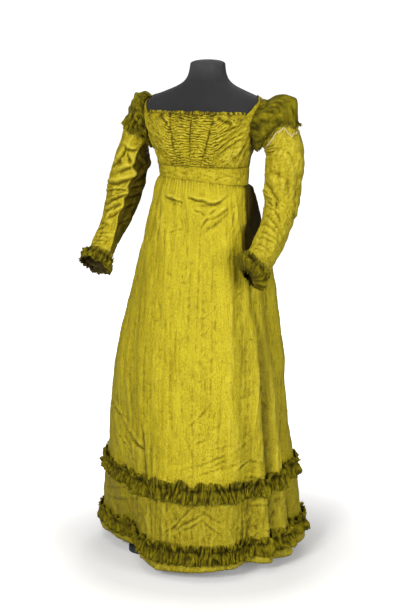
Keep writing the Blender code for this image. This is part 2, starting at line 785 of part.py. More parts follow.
def make_pole(paint):
    """Turned pole with a flange on the foot."""
    low = BASE_THICKNESS + SEAM
    high = FORM_BOTTOM - SEAM
    profile = (
        (0.0, low), (POLE_FLANGE_RADIUS, low),
        (POLE_FLANGE_RADIUS, low + POLE_FLANGE_HEIGHT * 0.7),
        (POLE_FLANGE_RADIUS - 0.002, low + POLE_FLANGE_HEIGHT),
        (POLE_RADIUS, low + POLE_FLANGE_HEIGHT * 1.3),
        (POLE_RADIUS, high), (0.0, high),
    )
    bm = bmesh.new()
    verts = [bm.verts.new((radius, 0.0, height)) for radius, height in profile]
    for start, end in zip(verts, verts[1:]):
        bm.edges.new((start, end))
    bmesh.ops.spin(bm, geom=bm.verts[:] + bm.edges[:], cent=(0, 0, 0), axis=(0, 0, 1),
                   angle=2 * math.pi, steps=16, use_merge=True)
    bmesh.ops.remove_doubles(bm, verts=bm.verts[:], dist=1e-6)
    bmesh.ops.translate(bm, verts=bm.verts[:], vec=(STAND_SHIFT, 0.0, 0.0))
    return finish("stand_pole", bm, paint, 40.0)


def make_base(paint):
    """Flat cross-shaped foot with rounded ends, bevelled along its top edge."""
    half = BASE_ARM_WIDTH / 2
    end = BASE_REACH - half
    steps = 8
    bm = bmesh.new()
    outline = []
    for arm in range(4):
        quarter = math.radians(90.0 * arm + BASE_TURN)
        along = Vector((math.cos(quarter), math.sin(quarter), 0.0))
        across = Vector((-math.sin(quarter), math.cos(quarter), 0.0))
        for k in range(steps + 1):
            t = -math.pi / 2 + math.pi * k / steps
            outline.append(along * (end + half * math.cos(t)) + across * half * math.sin(t))
        outline.append(along * half + across * half)
    face = bm.faces.new([bm.verts.new(point) for point in outline])
    face.normal_update()
    grown = bmesh.ops.extrude_face_region(bm, geom=[face])
    top = [item for item in grown["geom"] if isinstance(item, bmesh.types.BMVert)]
    bmesh.ops.translate(bm, verts=top, vec=(0.0, 0.0, BASE_THICKNESS))
    upper = [edge for edge in bm.edges if all(v.co.z > BASE_THICKNESS / 2 for v in edge.verts)]
    bmesh.ops.bevel(bm, geom=upper, offset=BASE_EDGE, segments=1, profile=0.5,
                    affect="EDGES", material=-1)
    bmesh.ops.translate(bm, verts=bm.verts[:], vec=(STAND_SHIFT, 0.0, 0.0))
    return finish("stand_base", bm, paint, 40.0)


# ---------------------------------------------------------------- building it
def main():
    for item in list(bpy.data.objects):
        bpy.data.objects.remove(item, do_unlink=True)

    silk = material("silk", SILK, 0.42)
    gauze = material("gauze", GAUZE_GREEN, 0.75)
    cover = material("form_cover", FORM_GREY, 0.85)
    paint = material("stand_metal", STAND_PAINT, 0.45)

    make_form(cover)
    make_pole(paint)
    make_base(paint)

    make_centre_front(silk)
    make_casing(silk)
    make_waistband(silk)
    for side in (1, -1):
        make_side_front(side, silk)
        make_half_back(side, silk)

    left_gore = FRONT_COLUMNS
    back = left_gore + SIDE_COLUMNS
    right_gore = back + BACK_COLUMNS
    make_skirt_piece("skirt_front", 0, left_gore, silk)
    make_skirt_piece("skirt_side_left", left_gore, back, silk)
    make_skirt_piece("skirt_back", back, right_gore, silk)
    make_skirt_piece("skirt_side_right", right_gore, COLUMNS, silk)
    make_hem_ruffle("hem_ruffle_upper", UPPER_RUFFLE_HEIGHT, gauze)
    make_hem_ruffle("hem_ruffle_lower", LOWER_RUFFLE_HEIGHT, gauze)

    for word, side, rows, puff in (("left", 1, LEFT_SLEEVE, LEFT_PUFF),
                                   ("right", -1, RIGHT_SLEEVE, RIGHT_PUFF)):
        make_sleeve(side, rows, silk)
        make_over_sleeve("puff_" + word, side, rows, puff, gauze)
        make_over_sleeve("cuff_ruffle_" + word, side, rows, CUFF, gauze)


main()
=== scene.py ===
# Regency gown in golden silk with olive gauze trims, on a limbless dress form.
# Metres, Z up. The gown faces -Y and its own left side is +X. Angles round the body
# are degrees from the centre front, positive towards +X.
import random
from math import asin, copysign, cos, exp, hypot, pi, radians, sin

import bmesh
import bpy
import numpy
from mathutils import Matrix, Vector, noise


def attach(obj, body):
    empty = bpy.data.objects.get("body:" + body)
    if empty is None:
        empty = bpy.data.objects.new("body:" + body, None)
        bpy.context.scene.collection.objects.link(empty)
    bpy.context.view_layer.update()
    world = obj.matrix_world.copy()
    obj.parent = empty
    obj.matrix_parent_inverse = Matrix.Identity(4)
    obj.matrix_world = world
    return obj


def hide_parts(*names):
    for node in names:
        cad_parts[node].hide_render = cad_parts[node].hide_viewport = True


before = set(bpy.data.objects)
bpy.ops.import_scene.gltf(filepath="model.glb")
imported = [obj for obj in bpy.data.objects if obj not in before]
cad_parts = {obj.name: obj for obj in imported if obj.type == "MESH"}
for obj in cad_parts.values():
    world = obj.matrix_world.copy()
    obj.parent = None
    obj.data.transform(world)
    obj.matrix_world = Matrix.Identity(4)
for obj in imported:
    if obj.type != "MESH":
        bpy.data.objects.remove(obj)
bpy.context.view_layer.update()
print("frame loaded")


# reading tables and shaping curves
def hermite(t):
    # weights of a start, its slope, an end and its slope on the curve between them
    return (2 * t ** 3 - 3 * t ** 2 + 1, t ** 3 - 2 * t ** 2 + t,
            3 * t ** 2 - 2 * t ** 3, t ** 3 - t ** 2)


def curveOf(rows, column):
    # smooth curve through one column of a table, read at a value of its first column
    rows = sorted(rows, key=lambda row: row[0])
    places = [row[0] for row in rows]
    values = [row[column] for row in rows]
    last = len(rows) - 1
    slopes = []
    for k in range(last + 1):
        before, after = max(k - 1, 0), min(k + 1, last)
        slopes.append((values[after] - values[before]) / (places[after] - places[before]))
    known = {}

    def read(at):
        if at not in known:
            if at <= places[0]:
                known[at] = values[0]
            elif at >= places[-1]:
                known[at] = values[-1]
            else:
                k = 0
                while places[k + 1] < at:
                    k += 1
                step = places[k + 1] - places[k]
                a, b, c, d = hermite((at - places[k]) / step)
                known[at] = (a * values[k] + b * step * slopes[k]
                             + c * values[k + 1] + d * step * slopes[k + 1])
        return known[at]

    return read


def curvesOf(rows):
    return [curveOf(rows, column) for column in range(1, len(rows[0]))]


def around(angle):
    return (angle + 180.0) % 360.0 - 180.0


def bump(angle, middle, spread):
    return exp(-(around(angle - middle) / spread) ** 2 / 2)


def clamp(value, low=0.0, high=1.0):
    return min(max(value, low), high)


def ease(value):
    value = clamp(value)
    return value * value * (3 - 2 * value)


def mix(start, end, part):
    return start * (1 - part) + end * part


def oval(angle, side, front, back, squareness):
    turn = radians(angle)
    depth = front if cos(turn) > 0 else back
    across = abs(sin(turn)) / side
    along = abs(cos(turn)) / depth
    return (across ** squareness + along ** squareness) ** (-1 / squareness)


def polar(angle, reach, height):
    turn = radians(angle)
    return Vector((reach * sin(turn), -reach * cos(turn), height))


def rough(x, y, size, seed):
    # gentle unevenness from -1 to 1, with features about that size
    return noise.noise(Vector((x / size + 0.37, y / size + 0.61, seed + 0.29)))


def loopRough(turns, count, rise, seed):
    # the same read round a closed loop, with about that many features on it
    t, reach = 2 * pi * turns, count / (2 * pi)
    return noise.noise(Vector((cos(t) * reach, sin(t) * reach, rise + seed)))


def strayed(x, y, amount, size, seed):
    # a place moved a little, so that listed folds wander as real ones do
    return (x + amount * (rough(x, y, size, seed) + 0.45 * rough(x, y, size / 2.7, seed + 1)),
            y + amount * (rough(x, y, size, seed + 2) + 0.45 * rough(x, y, size / 2.7, seed + 3)))


foldProfile = {
    # heights are shares of a fold's rise, sizes across it are in its widths
    "crest": 0.62, "crestHalf": 1.2, "trough": 0.95, "troughAt": 1.75, "troughHalf": 0.85,
    "reach": 4.5,
    "overrun": 0.08,  # past its ends, a share of its length
}


def foldShape(across):
    # a crest with a sharper trough beside it, as a fold in crisp silk has
    crest = exp(-(abs(across) / foldProfile["crestHalf"]) ** 1.6)
    trough = exp(-(abs(across - foldProfile["troughAt"]) / foldProfile["troughHalf"]) ** 1.5)
    return foldProfile["crest"] * crest - foldProfile["trough"] * trough


def crumple(point, size):
    # flat planes meeting in crisp ridges and valleys, from -0.25 to 0.25
    return asin(sin(pi * 1.7 * noise.noise(point / size))) / (2 * pi)


def crumples(point, layers):
    # several such sets at once, each with its height and size
    return sum(height * crumple(point, size) for height, size in layers)


def strokes(x, y, marks, wrap=None):
    # height of the cloth over a set of bent folds, each from one point to another
    total, overrun, reach = 0.0, foldProfile["overrun"], foldProfile["reach"]
    for ax, ay, bx, by, width, rise, bend in marks:
        dx, dy = bx - ax, by - ay
        long = hypot(dx, dy)
        px, py = x - ax, y - ay
        if wrap:
            px = (px - dx / 2 + wrap / 2) % wrap - wrap / 2 + dx / 2
        along = (px * dx + py * dy) / long ** 2
        if not -overrun < along < 1 + overrun:
            continue
        off = (px * dy - py * dx) / long - bend * 4 * along * (1 - along)
        if abs(off) > reach * width:
            continue
        fade = sin(pi * (along + overrun) / (1 + 2 * overrun)) ** 0.7
        total += rise * fade * foldShape(off / width)
    return total


def sideName(side):
    return "Left" if side > 0 else "Right"


# making cloth
def finishPiece(name, bm, look, nodes, smooth=True):
    mesh = bpy.data.meshes.new(name)
    bm.to_mesh(mesh)
    bm.free()
    if smooth:
        mesh.shade_smooth()
    mesh.materials.append(look)
    piece = bpy.data.objects.new(name, mesh)
    bpy.context.scene.collection.objects.link(piece)
    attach(piece, "root")
    if nodes:
        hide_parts(*nodes)
    return piece


def blurred(points, reach, axis, closed):
    # running average along one direction of the grid
    if reach < 1:
        return points
    widths = [(0, 0)] * 3
    widths[axis] = (reach, reach)
    padded = numpy.pad(points, widths, mode="wrap" if closed else "edge")
    sums = numpy.cumsum(numpy.insert(padded, 0, 0.0, axis=axis), axis=axis)
    length = points.shape[axis]
    upper = numpy.take(sums, range(2 * reach + 1, 2 * reach + 1 + length), axis=axis)
    lower = numpy.take(sums, range(length), axis=axis)
    return (upper - lower) / (2 * reach + 1)


hollowSizes = (
    # how far round each point, the depth that counts as deep, weight
    (0.003, 0.0007, 0.45),
    (0.01, 0.0026, 0.5),
    (0.03, 0.012, 0.25),
)
edgeShare = 0.3  # of that measure within its reach of an edge, where there is less to compare with


def hollowsOf(points, closed, sizes):
    # how far each point lies below (under 0.5) or above (over 0.5) the cloth around it
    if closed:
        points = points[:-1]
    acrossStep = numpy.gradient(points, axis=0)
    if closed:
        acrossStep[0] = (points[1] - points[-1]) / 2
        acrossStep[-1] = (points[0] - points[-2]) / 2
    upStep = numpy.gradient(points, axis=1)
    normals = numpy.cross(acrossStep, upStep)
    normals /= numpy.maximum(numpy.linalg.norm(normals, axis=2, keepdims=True), 1e-12)
    cells = (numpy.median(numpy.linalg.norm(acrossStep, axis=2)),
             numpy.median(numpy.linalg.norm(upStep, axis=2)))
    total = numpy.full(points.shape[:2], 0.5)
    for size, depth, weight in sizes:
        smooth = points
        for axis in (0, 1, 0, 1):
            smooth = blurred(smooth, max(1, round(size / cells[axis])), axis, closed and axis == 0)
        below = ((points - smooth) * normals).sum(axis=2) / depth
        upEdge = min(round(size / cells[1]), points.shape[1] // 8)
        if upEdge:
            below[:, :upEdge] *= edgeShare
            below[:, -upEdge:] *= edgeShare
        acrossEdge = 0 if closed else min(round(size / cells[0]), points.shape[0] // 8)
        if acrossEdge:
            below[:acrossEdge] *= edgeShare
            below[-acrossEdge:] *= edgeShare
        total += weight * numpy.tanh(below) / 2
    total = numpy.clip(total, 0.0, 1.0)
    return numpy.vstack([total, total[:1]]) if closed else total


silkWall, gauzeWall = 0.0012, 0.0009  # thickness of the shells


def clothPiece(name, shape, place, look, nodes, closed=False, wall=silkWall, paintedShade=None,
               lining=None):
    # a sheet laid out flat as a grid, then each point put where the garment holds it
    columns, rows, flat = shape["columns"], shape["rows"], shape["flat"]
    bm = bmesh.new()
    layer = bm.loops.layers.uv.new("cut")
    hollow = bm.verts.layers.float.new("hollow")
    # share of painted shade on each point, read by the materials
    paintedShadeLayer = bm.verts.layers.float.new("paintedShade")
    bmesh.ops.create_grid(bm, x_segments=columns, y_segments=rows, size=0.5, calc_uvs=True)
    for face in bm.faces:
        for loop in face.loops:
            loop[layer].uv = ((loop.vert.co.x + 0.5) * flat[0], (loop.vert.co.y + 0.5) * flat[1])
    points = numpy.zeros((columns + 1, rows + 1, 3))
    cells = []
    for vert in bm.verts:
        column, row = round((vert.co.x + 0.5) * columns), round((vert.co.y + 0.5) * rows)
        vert.co = place((column % columns if closed else column) / columns, row / rows)
        points[column, row] = vert.co
        cells.append((column, row))
    hollows = hollowsOf(points, closed, hollowSizes)
    for vert, (column, row) in zip(bm.verts, cells):
        vert[hollow] = hollows[column, row]
        if paintedShade:
            vert[paintedShadeLayer] = paintedShade(column / columns, row / rows)
    if closed:
        bmesh.ops.remove_doubles(bm, verts=bm.verts[:], dist=1e-6)
    piece = finishPiece(name, bm, look, nodes)
    if wall:
        solid = piece.modifiers.new("wall", "SOLIDIFY")
        solid.thickness = wall
        solid.offset = -1.0
        solid.use_even_offset = False
        if lining:
            piece.data.materials.append(lining)
            solid.material_offset = 1
    return piece


# materials
def feed(tree, socket, given):
    # a wire from another node, or a plain value
    if isinstance(given, bpy.types.NodeSocket):
        tree.links.new(given, socket)
    elif given is not None:
        socket.default_value = given


def newGroup(name, inputs, outputs):
    tree = bpy.data.node_groups.new(name, "ShaderNodeTree")
    for label, kind, value in inputs:
        socket = tree.interface.new_socket(name=label, in_out="INPUT",
                                           socket_type="NodeSocket" + kind)
        if value is not None:
            socket.default_value = value
    for label, kind in outputs:
        tree.interface.new_socket(name=label, in_out="OUTPUT", socket_type="NodeSocket" + kind)
    return tree, tree.nodes.new("NodeGroupInput"), tree.nodes.new("NodeGroupOutput")


def addNode(tree, kind, settings=None, **sockets):
    # inputs are given by name, or by number as i0, i1 and so on
    made = tree.nodes.new(kind)
    for key, value in (settings or {}).items():
        setattr(made, key, value)
    for key, value in sockets.items():
        numbered = key[0] == "i" and key[1:].isdigit()
        feed(tree, made.inputs[int(key[1:]) if numbered else key], value)
    return made


def maths(tree, operation, *values):
    return addNode(tree, "ShaderNodeMath", {"operation": operation},
                   **{"i%d" % k: value for k, value in enumerate(values)}).outputs[0]


def weighted(tree, *parts):
    # some values added up, each times its weight
    products = [maths(tree, "MULTIPLY", part, weight) for part, weight in parts]
    total = products[0]
    for product in products[1:]:
        total = maths(tree, "ADD", total, product)
    return total


def scaled(tree, vector, scale):
    return addNode(tree, "ShaderNodeMapping", None, Vector=vector, Scale=scale).outputs[0]


def noiseNode(tree, vector, scale, detail=3.0, roughness=0.5):
    return addNode(tree, "ShaderNodeTexNoise", None, Vector=vector, Scale=scale, Detail=detail,
                   Roughness=roughness).outputs["Fac"]


def remap(tree, value, low, high, toLow=0.0, toHigh=1.0):
    made = addNode(tree, "ShaderNodeMapRange")
    labels = ("Value", "From Min", "From Max", "To Min", "To Max")
    for label, given in zip(labels, (value, low, high, toLow, toHigh)):
        feed(tree, made.inputs[label], given)
    return made.outputs["Result"]


def makeWeaveGroup():
    # crossing threads with thick places in them; outputs a height and a tone
    tree, put, out = newGroup(
        "threadWeave",
        [("Vector", "Vector", None), ("Threads", "Float", 900.0), ("Slub", "Float", 0.5)],
        [("Height", "Float"), ("Tone", "Float")])
    vector = put.outputs["Vector"]
    parts = addNode(tree, "ShaderNodeSeparateXYZ", None, Vector=vector).outputs
    turns = maths(tree, "MULTIPLY", put.outputs["Threads"], 2 * pi)
    warp = maths(tree, "SINE", maths(tree, "MULTIPLY", parts[0], turns))
    weft = maths(tree, "SINE", maths(tree, "MULTIPLY", parts[1], turns))
    crossed = maths(tree, "MULTIPLY", warp, weft)
    slubs = [noiseNode(tree, scaled(tree, vector, size), 1.0, 2.0)
             for size in ((28.0, 620.0, 1.0), (520.0, 22.0, 1.0))]  # along the weft, along the warp
    slub = maths(tree, "ADD", *slubs)
    height = maths(tree, "MULTIPLY_ADD", crossed, 0.5,
                   maths(tree, "MULTIPLY", slub, put.outputs["Slub"]))
    tree.links.new(height, out.inputs["Height"])
    tree.links.new(maths(tree, "MULTIPLY", slub, 0.5), out.inputs["Tone"])
    return tree


def makeCrumpleGroup():
    # small flat facets with crisp edges between them, as handled silk has
    tree, put, out = newGroup(
        "silkCrumple",
        [("Vector", "Vector", None), ("Scale", "Float", 24.0), ("Stretch", "Float", 0.5)],
        [("Height", "Float"), ("Crest", "Float")])
    squeeze = addNode(tree, "ShaderNodeCombineXYZ", None, X=1.0, Y=put.outputs["Stretch"], Z=1.0)
    stretched = addNode(tree, "ShaderNodeVectorMath", {"operation": "MULTIPLY"},
                        i0=put.outputs["Vector"], i1=squeeze.outputs[0]).outputs[0]
    bent = addNode(tree, "ShaderNodeTexNoise", None, Vector=stretched, Scale=14.0, Detail=3.0)
    warped = addNode(tree, "ShaderNodeVectorMath", {"operation": "MULTIPLY_ADD"},
                     i0=bent.outputs["Color"], i1=(0.05, 0.05, 0.05), i2=stretched).outputs[0]
    cells = addNode(tree, "ShaderNodeTexVoronoi", {"feature": "DISTANCE_TO_EDGE"},
                    Vector=warped, Scale=put.outputs["Scale"]).outputs["Distance"]
    facet = remap(tree, cells, 0.0, 0.35)
    soft = noiseNode(tree, warped, 30.0, 4.0, 0.6)
    height = maths(tree, "ADD", maths(tree, "MULTIPLY", facet, 0.45), soft)
    lines = []
    for scale, width, depth in ((26.0, 0.05, 0.42), (64.0, 0.06, 0.2)):  # sharp little creases
        level = maths(tree, "SUBTRACT", noiseNode(tree, warped, scale, 1.0, 0.5), 0.5)
        lines.append(remap(tree, maths(tree, "ABSOLUTE", level), 0.0, width, 1.0, 0.0))
        height = maths(tree, "SUBTRACT", height, maths(tree, "MULTIPLY", lines[-1], depth))
    tree.links.new(height, out.inputs["Height"])
    crest = maths(tree, "MAXIMUM", remap(tree, cells, 0.0, 0.06, 1.0, 0.0), lines[0])
    tree.links.new(crest, out.inputs["Crest"])
    return tree


def makeAgeGroup():
    # slow changes of tone, with faint marks; 0.5 is plain
    tree, put, out = newGroup(
        "agedTone",
        [("Vector", "Vector", None), ("Size", "Float", 8.0)],
        [("Tone", "Float"), ("Marks", "Float")])
    wide = noiseNode(tree, put.outputs["Vector"], put.outputs["Size"], 5.0, 0.62)
    spots = noiseNode(tree, put.outputs["Vector"], 46.0, 4.0, 0.7)
    tree.links.new(wide, out.inputs["Tone"])
    tree.links.new(remap(tree, spots, 0.6, 0.74), out.inputs["Marks"])
    return tree


def makeHollowGroup():
    # where the cloth dips, and where it stands up, from the measure kept on each point: masks for
    # painted shade in the dips and painted highlight on the ridges
    tree, put, out = newGroup(
        "foldDepth", [("Dark", "Float", 0.42), ("Bright", "Float", 0.62)],
        [("Valley", "Float"), ("Ridge", "Float")])
    depth = addNode(tree, "ShaderNodeAttribute", {"attribute_name": "hollow"}).outputs["Fac"]
    tree.links.new(remap(tree, depth, put.outputs["Dark"], 0.0, 0.0, 1.0), out.inputs["Valley"])
    tree.links.new(remap(tree, depth, put.outputs["Bright"], 1.0, 0.0, 1.0), out.inputs["Ridge"])
    return tree


hollowGroup = makeHollowGroup()
weaveGroup = makeWeaveGroup()
crumpleGroup = makeCrumpleGroup()
ageGroup = makeAgeGroup()


def groupNode(tree, group, **sockets):
    made = tree.nodes.new("ShaderNodeGroup")
    made.node_tree = group
    for key, value in sockets.items():
        feed(tree, made.inputs[key], value)
    return made.outputs


def newMaterial(name):
    made = bpy.data.materials.new(name)
    made.use_nodes = True
    return made, made.node_tree, made.node_tree.nodes["Principled BSDF"]


def blendColour(tree, part, first, second):
    made = addNode(tree, "ShaderNodeMix", {"data_type": "RGBA"}, i0=part, i6=first, i7=second)
    return made.outputs[2]


def tinted(tree, colour, look, *layers):
    # tints of a look laid over a colour, each through its mask at its strength
    for mask, strength, tint in layers:
        colour = blendColour(tree, maths(tree, "MULTIPLY", mask, strength), colour, look[tint])
    return colour


def bumpNode(tree, height, distance, strength, normal=None):
    return addNode(tree, "ShaderNodeBump", None, Height=height, Distance=distance,
                   Strength=strength, Normal=normal).outputs["Normal"]


def cutMap(tree):
    # places on the flat cut, in metres
    return addNode(tree, "ShaderNodeUVMap", {"uv_map": "cut"}).outputs["UV"]


def objectPlace(tree):
    return addNode(tree, "ShaderNodeTexCoord").outputs["Object"]


# the share of painted shade kept on each point of a piece
def paintedShadeOf(tree):
    return addNode(tree, "ShaderNodeAttribute", {"attribute_name": "paintedShade"}).outputs["Fac"]


def setShader(tree, shader, values):
    for label, given in values.items():
        feed(tree, shader.inputs[label], given)


silkLook = {
    "light": (0.56, 0.465, 0.021, 1.0),
    "deep": (0.3, 0.232, 0.0045, 1.0),
    "shade": (0.075, 0.052, 0.001, 1.0),
    # painted highlight on the ridges of folds
    "crest": (0.72, 0.62, 0.07, 1.0),
    # mark: painted shade along small crease lines, and faint stains
    "mark": (0.17, 0.12, 0.003, 1.0),
    "paintedShade": (0.028, 0.018, 0.001, 1.0),  # painted shade, under the arms and in folds, gathers and pockets
    "tones": (0.18, 0.66),
    "roughness": (0.4, 0.58),
    "sheen": 0.06,
    "threads": 1100.0,  # to a metre
    "grain": (225.0, 185.0, 1.0), "slubs": (330.0, 24.0, 1.0), "bands": (62.0, 2.6, 1.0),
    "crumple": (0.26, 0.5),  # on the skirt, then near its hem
    "hemZone": (0.28, 0.22),
    "weave": 0.35,
    "dark": 0.46,  # depth at which a fold turns to shade
    "streaks": 0.46,
    "creaseShadeAndStainAmounts": (0.2, 0.12), "shadeAmount": 0.9, "crestHighlightAmount": 0.4,
    "sheenTint": (1.0, 0.9, 0.35, 1.0), "glossTint": (1.0, 0.86, 0.3, 1.0),
}
# darker copies of the one silk as painted shade: the first for the gathered bodice, its neck casing
# and the gown's right sleeve, the second for its left sleeve
shadedSilkLook = dict(silkLook, light=(0.46, 0.374, 0.012, 1.0), deep=(0.215, 0.16, 0.003, 1.0),
                  shade=(0.034, 0.023, 0.001, 1.0), dark=0.57, streaks=0.08)
sleeveShadedLook = dict(silkLook, light=(0.47, 0.387, 0.018, 1.0), deep=(0.245, 0.188, 0.004, 1.0),
                  dark=0.52, streaks=0.2)


def makeSilk(name, look):
    made, tree, shader = newMaterial(name)
    cut = cutMap(tree)
    weave = groupNode(tree, weaveGroup, Vector=cut, Threads=look["threads"], Slub=0.7)
    crumple = groupNode(tree, crumpleGroup, Vector=cut, Scale=26.0, Stretch=0.55)
    age = groupNode(tree, ageGroup, Vector=cut, Size=9.0)
    hollow = groupNode(tree, hollowGroup, Dark=look["dark"], Bright=0.66)
    grain = noiseNode(tree, scaled(tree, cut, look["grain"]), 1.0, 1.0, 0.75)
    slubs = noiseNode(tree, scaled(tree, cut, look["slubs"]), 1.0, 2.0)
    bands = noiseNode(tree, scaled(tree, cut, look["bands"]), 1.0, 3.0, 0.6)
    uneven = [(maths(tree, "SUBTRACT", part, 0.5), weight)
              for part, weight in ((grain, 1.15), (slubs, 0.35), (bands, look["streaks"]))]
    tone = weighted(tree, (age["Tone"], 0.55), (weave["Tone"], 0.45), *uneven)
    colour = blendColour(tree, remap(tree, tone, *look["tones"]), look["deep"], look["light"])
    # painted shade on crease lines and faint stains, painted shade in fold dips, painted highlight
    # on fold ridges
    colour = tinted(tree, colour, look, (crumple["Crest"], look["creaseShadeAndStainAmounts"][0], "mark"),
                    (age["Marks"], look["creaseShadeAndStainAmounts"][1], "mark"),
                    (hollow["Valley"], look["shadeAmount"], "shade"),
                    (hollow["Ridge"], look["crestHighlightAmount"], "crest"))
    fromHem = addNode(tree, "ShaderNodeSeparateXYZ", None, Vector=cut).outputs[1]
    strength = remap(tree, fromHem, *look["hemZone"], *look["crumple"])
    creased = bumpNode(tree, crumple["Height"], 0.006, strength)
    grained = bumpNode(tree, grain, 0.0022, 0.6, creased)
    # painted shade blended over the colour by the share kept on each point
    setShader(tree, shader, {
        "Base Color": blendColour(tree, paintedShadeOf(tree), colour, look["paintedShade"]),
        "Roughness": remap(tree, age["Tone"], 0.3, 0.7, *look["roughness"]),
        "Sheen Weight": look["sheen"], "Sheen Roughness": 0.35, "Sheen Tint": look["sheenTint"],
        "Specular IOR Level": 0.35, "Specular Tint": look["glossTint"],
        "Normal": bumpNode(tree, weave["Height"], 0.0006, look["weave"], grained)})
    return made


gauzeLook = {
    "light": (0.35, 0.295, 0.008, 1.0),
    "deep": (0.052, 0.04, 0.001, 1.0),
    "under": (0.4, 0.31, 0.005, 1.0),  # the silk showing through
    "shade": (0.014, 0.01, 0.0005, 1.0),
    "roughness": 0.88,
    "sheen": 0.05, "sheenTint": (0.86, 0.78, 0.2, 1.0),
    "sheer": 0.6,  # how much of it where the threads are thin
    "threads": 420.0,
    "streaks": (104.0, 38.0, 1.0), "patches": (34.0, 26.0, 1.0),
}


def makeGauze(name, look):
    made, tree, shader = newMaterial(name)
    cut = cutMap(tree)
    weave = groupNode(tree, weaveGroup, Vector=cut, Threads=look["threads"], Slub=1.0)
    age = groupNode(tree, ageGroup, Vector=cut, Size=16.0)
    hollow = groupNode(tree, hollowGroup, Dark=0.55, Bright=0.62)
    streaks = noiseNode(tree, scaled(tree, cut, look["streaks"]), 1.0, 4.0, 0.65)
    patches = noiseNode(tree, scaled(tree, cut, look["patches"]), 1.0, 4.0, 0.6)
    tone = weighted(tree, (age["Tone"], 0.35), (streaks, 0.85))
    colour = blendColour(tree, remap(tree, tone, 0.46, 0.78), look["deep"], look["light"])
    thin = maths(tree, "ADD", patches, maths(tree, "MULTIPLY", streaks, 0.5))
    through = remap(tree, thin, 0.82, 1.02, 0.0, look["sheer"])
    colour = blendColour(tree, through, colour, look["under"])
    # painted shade in the dips of the folds
    colour = tinted(tree, colour, look, (hollow["Valley"], 0.95, "shade"))
    fuzz = bumpNode(tree, streaks, 0.004, 0.6)
    # painted shade blended over the colour by the share kept on each point
    setShader(tree, shader, {
        "Base Color": blendColour(tree, paintedShadeOf(tree), colour, look["shade"]),
        "Roughness": look["roughness"],
        "Sheen Weight": look["sheen"], "Sheen Roughness": 0.5, "Sheen Tint": look["sheenTint"],
        "Specular IOR Level": 0.08,
        "Normal": bumpNode(tree, weave["Height"], 0.0012, 0.6, fuzz)})
    return made


formLook = {
    "light": (0.019, 0.019, 0.02, 1.0),
    "deep": (0.007, 0.007, 0.008, 1.0),
    "worn": (0.075, 0.075, 0.077, 1.0),  # lighter towards the top of the neck
    "lighterFrom": 1.4, "lighterTo": 1.46,
    "roughness": 0.9,
    "sheen": 0.08,
}


def makeFormCover(name, look):
    made, tree, shader = newMaterial(name)
    cut = cutMap(tree)
    weave = groupNode(tree, weaveGroup, Vector=cut, Threads=620.0, Slub=0.35)
    age = groupNode(tree, ageGroup, Vector=cut, Size=6.0)
    grain = noiseNode(tree, scaled(tree, cut, (260.0, 190.0, 1.0)), 1.0, 1.0)
    tone = weighted(tree, (age["Tone"], 0.6), (grain, 0.5))
    colour = blendColour(tree, remap(tree, tone, 0.38, 0.76), look["deep"], look["light"])
    height = addNode(tree, "ShaderNodeSeparateXYZ", None, Vector=objectPlace(tree)).outputs[2]
    nearTop = remap(tree, height, look["lighterFrom"], look["lighterTo"])
    lighterTowardsTop = maths(tree, "MULTIPLY", nearTop, age["Tone"])
    setShader(tree, shader, {
        "Base Color": blendColour(tree, lighterTowardsTop, colour, look["worn"]),
        "Roughness": look["roughness"], "Sheen Weight": look["sheen"], "Sheen Roughness": 0.45,
        "Normal": bumpNode(tree, weave["Height"], 0.001, 0.5)})
    return made


standLook = {
    "paint": (0.028, 0.034, 0.04, 1.0),
    "worn": (0.075, 0.085, 0.095, 1.0),
}


def makeStandPaint(name, look):
    made, tree, shader = newMaterial(name)
    place = objectPlace(tree)
    age = groupNode(tree, ageGroup, Vector=place, Size=18.0)
    grit = noiseNode(tree, place, 700.0, 2.0)
    setShader(tree, shader, {
        "Base Color": tinted(tree, look["paint"], look, (age["Marks"], 0.45, "worn")),
        "Roughness": remap(tree, age["Tone"], 0.3, 0.7, 0.38, 0.6),
        "Normal": bumpNode(tree, grit, 0.0004, 0.35)})
    return made


creamLook = {
    "first": (0.66, 0.55, 0.25, 1.0), "second": (0.33, 0.27, 0.1, 1.0),
    "strands": 900.0, "blend": (0.3, 0.7, 0.0, 0.5), "roughness": 0.8, "relief": 0.0008,
}
endsLook = {
    "first": gauzeLook["deep"], "second": gauzeLook["light"],
    "strands": 300.0, "blend": (0.35, 0.65, 0.0, 1.0), "roughness": 0.88, "relief": None,
}


def makeThread(name, look):
    made, tree, shader = newMaterial(name)
    strands = noiseNode(tree, objectPlace(tree), look["strands"], 3.0)
    part = remap(tree, strands, *look["blend"])
    setShader(tree, shader, {
        "Base Color": blendColour(tree, part, look["first"], look["second"]),
        "Roughness": look["roughness"],
        "Normal": bumpNode(tree, strands, look["relief"], 0.5) if look["relief"] else None})
    return made


# the inside of the sleeves and cuffs, kept dark as painted shade
insideShadeLook = {"light": (0.085, 0.062, 0.018, 1.0), "deep": (0.03, 0.021, 0.006, 1.0)}


def makeInsideShade(name, look):
    made, tree, shader = newMaterial(name)
    weave = groupNode(tree, weaveGroup, Vector=cutMap(tree), Threads=700.0, Slub=0.6)
    setShader(tree, shader, {
        "Base Color": blendColour(tree, weave["Tone"], look["deep"], look["light"]),
        "Roughness": 0.85, "Specular IOR Level": 0.1,
        "Normal": bumpNode(tree, weave["Height"], 0.0008, 0.4)})
    return made


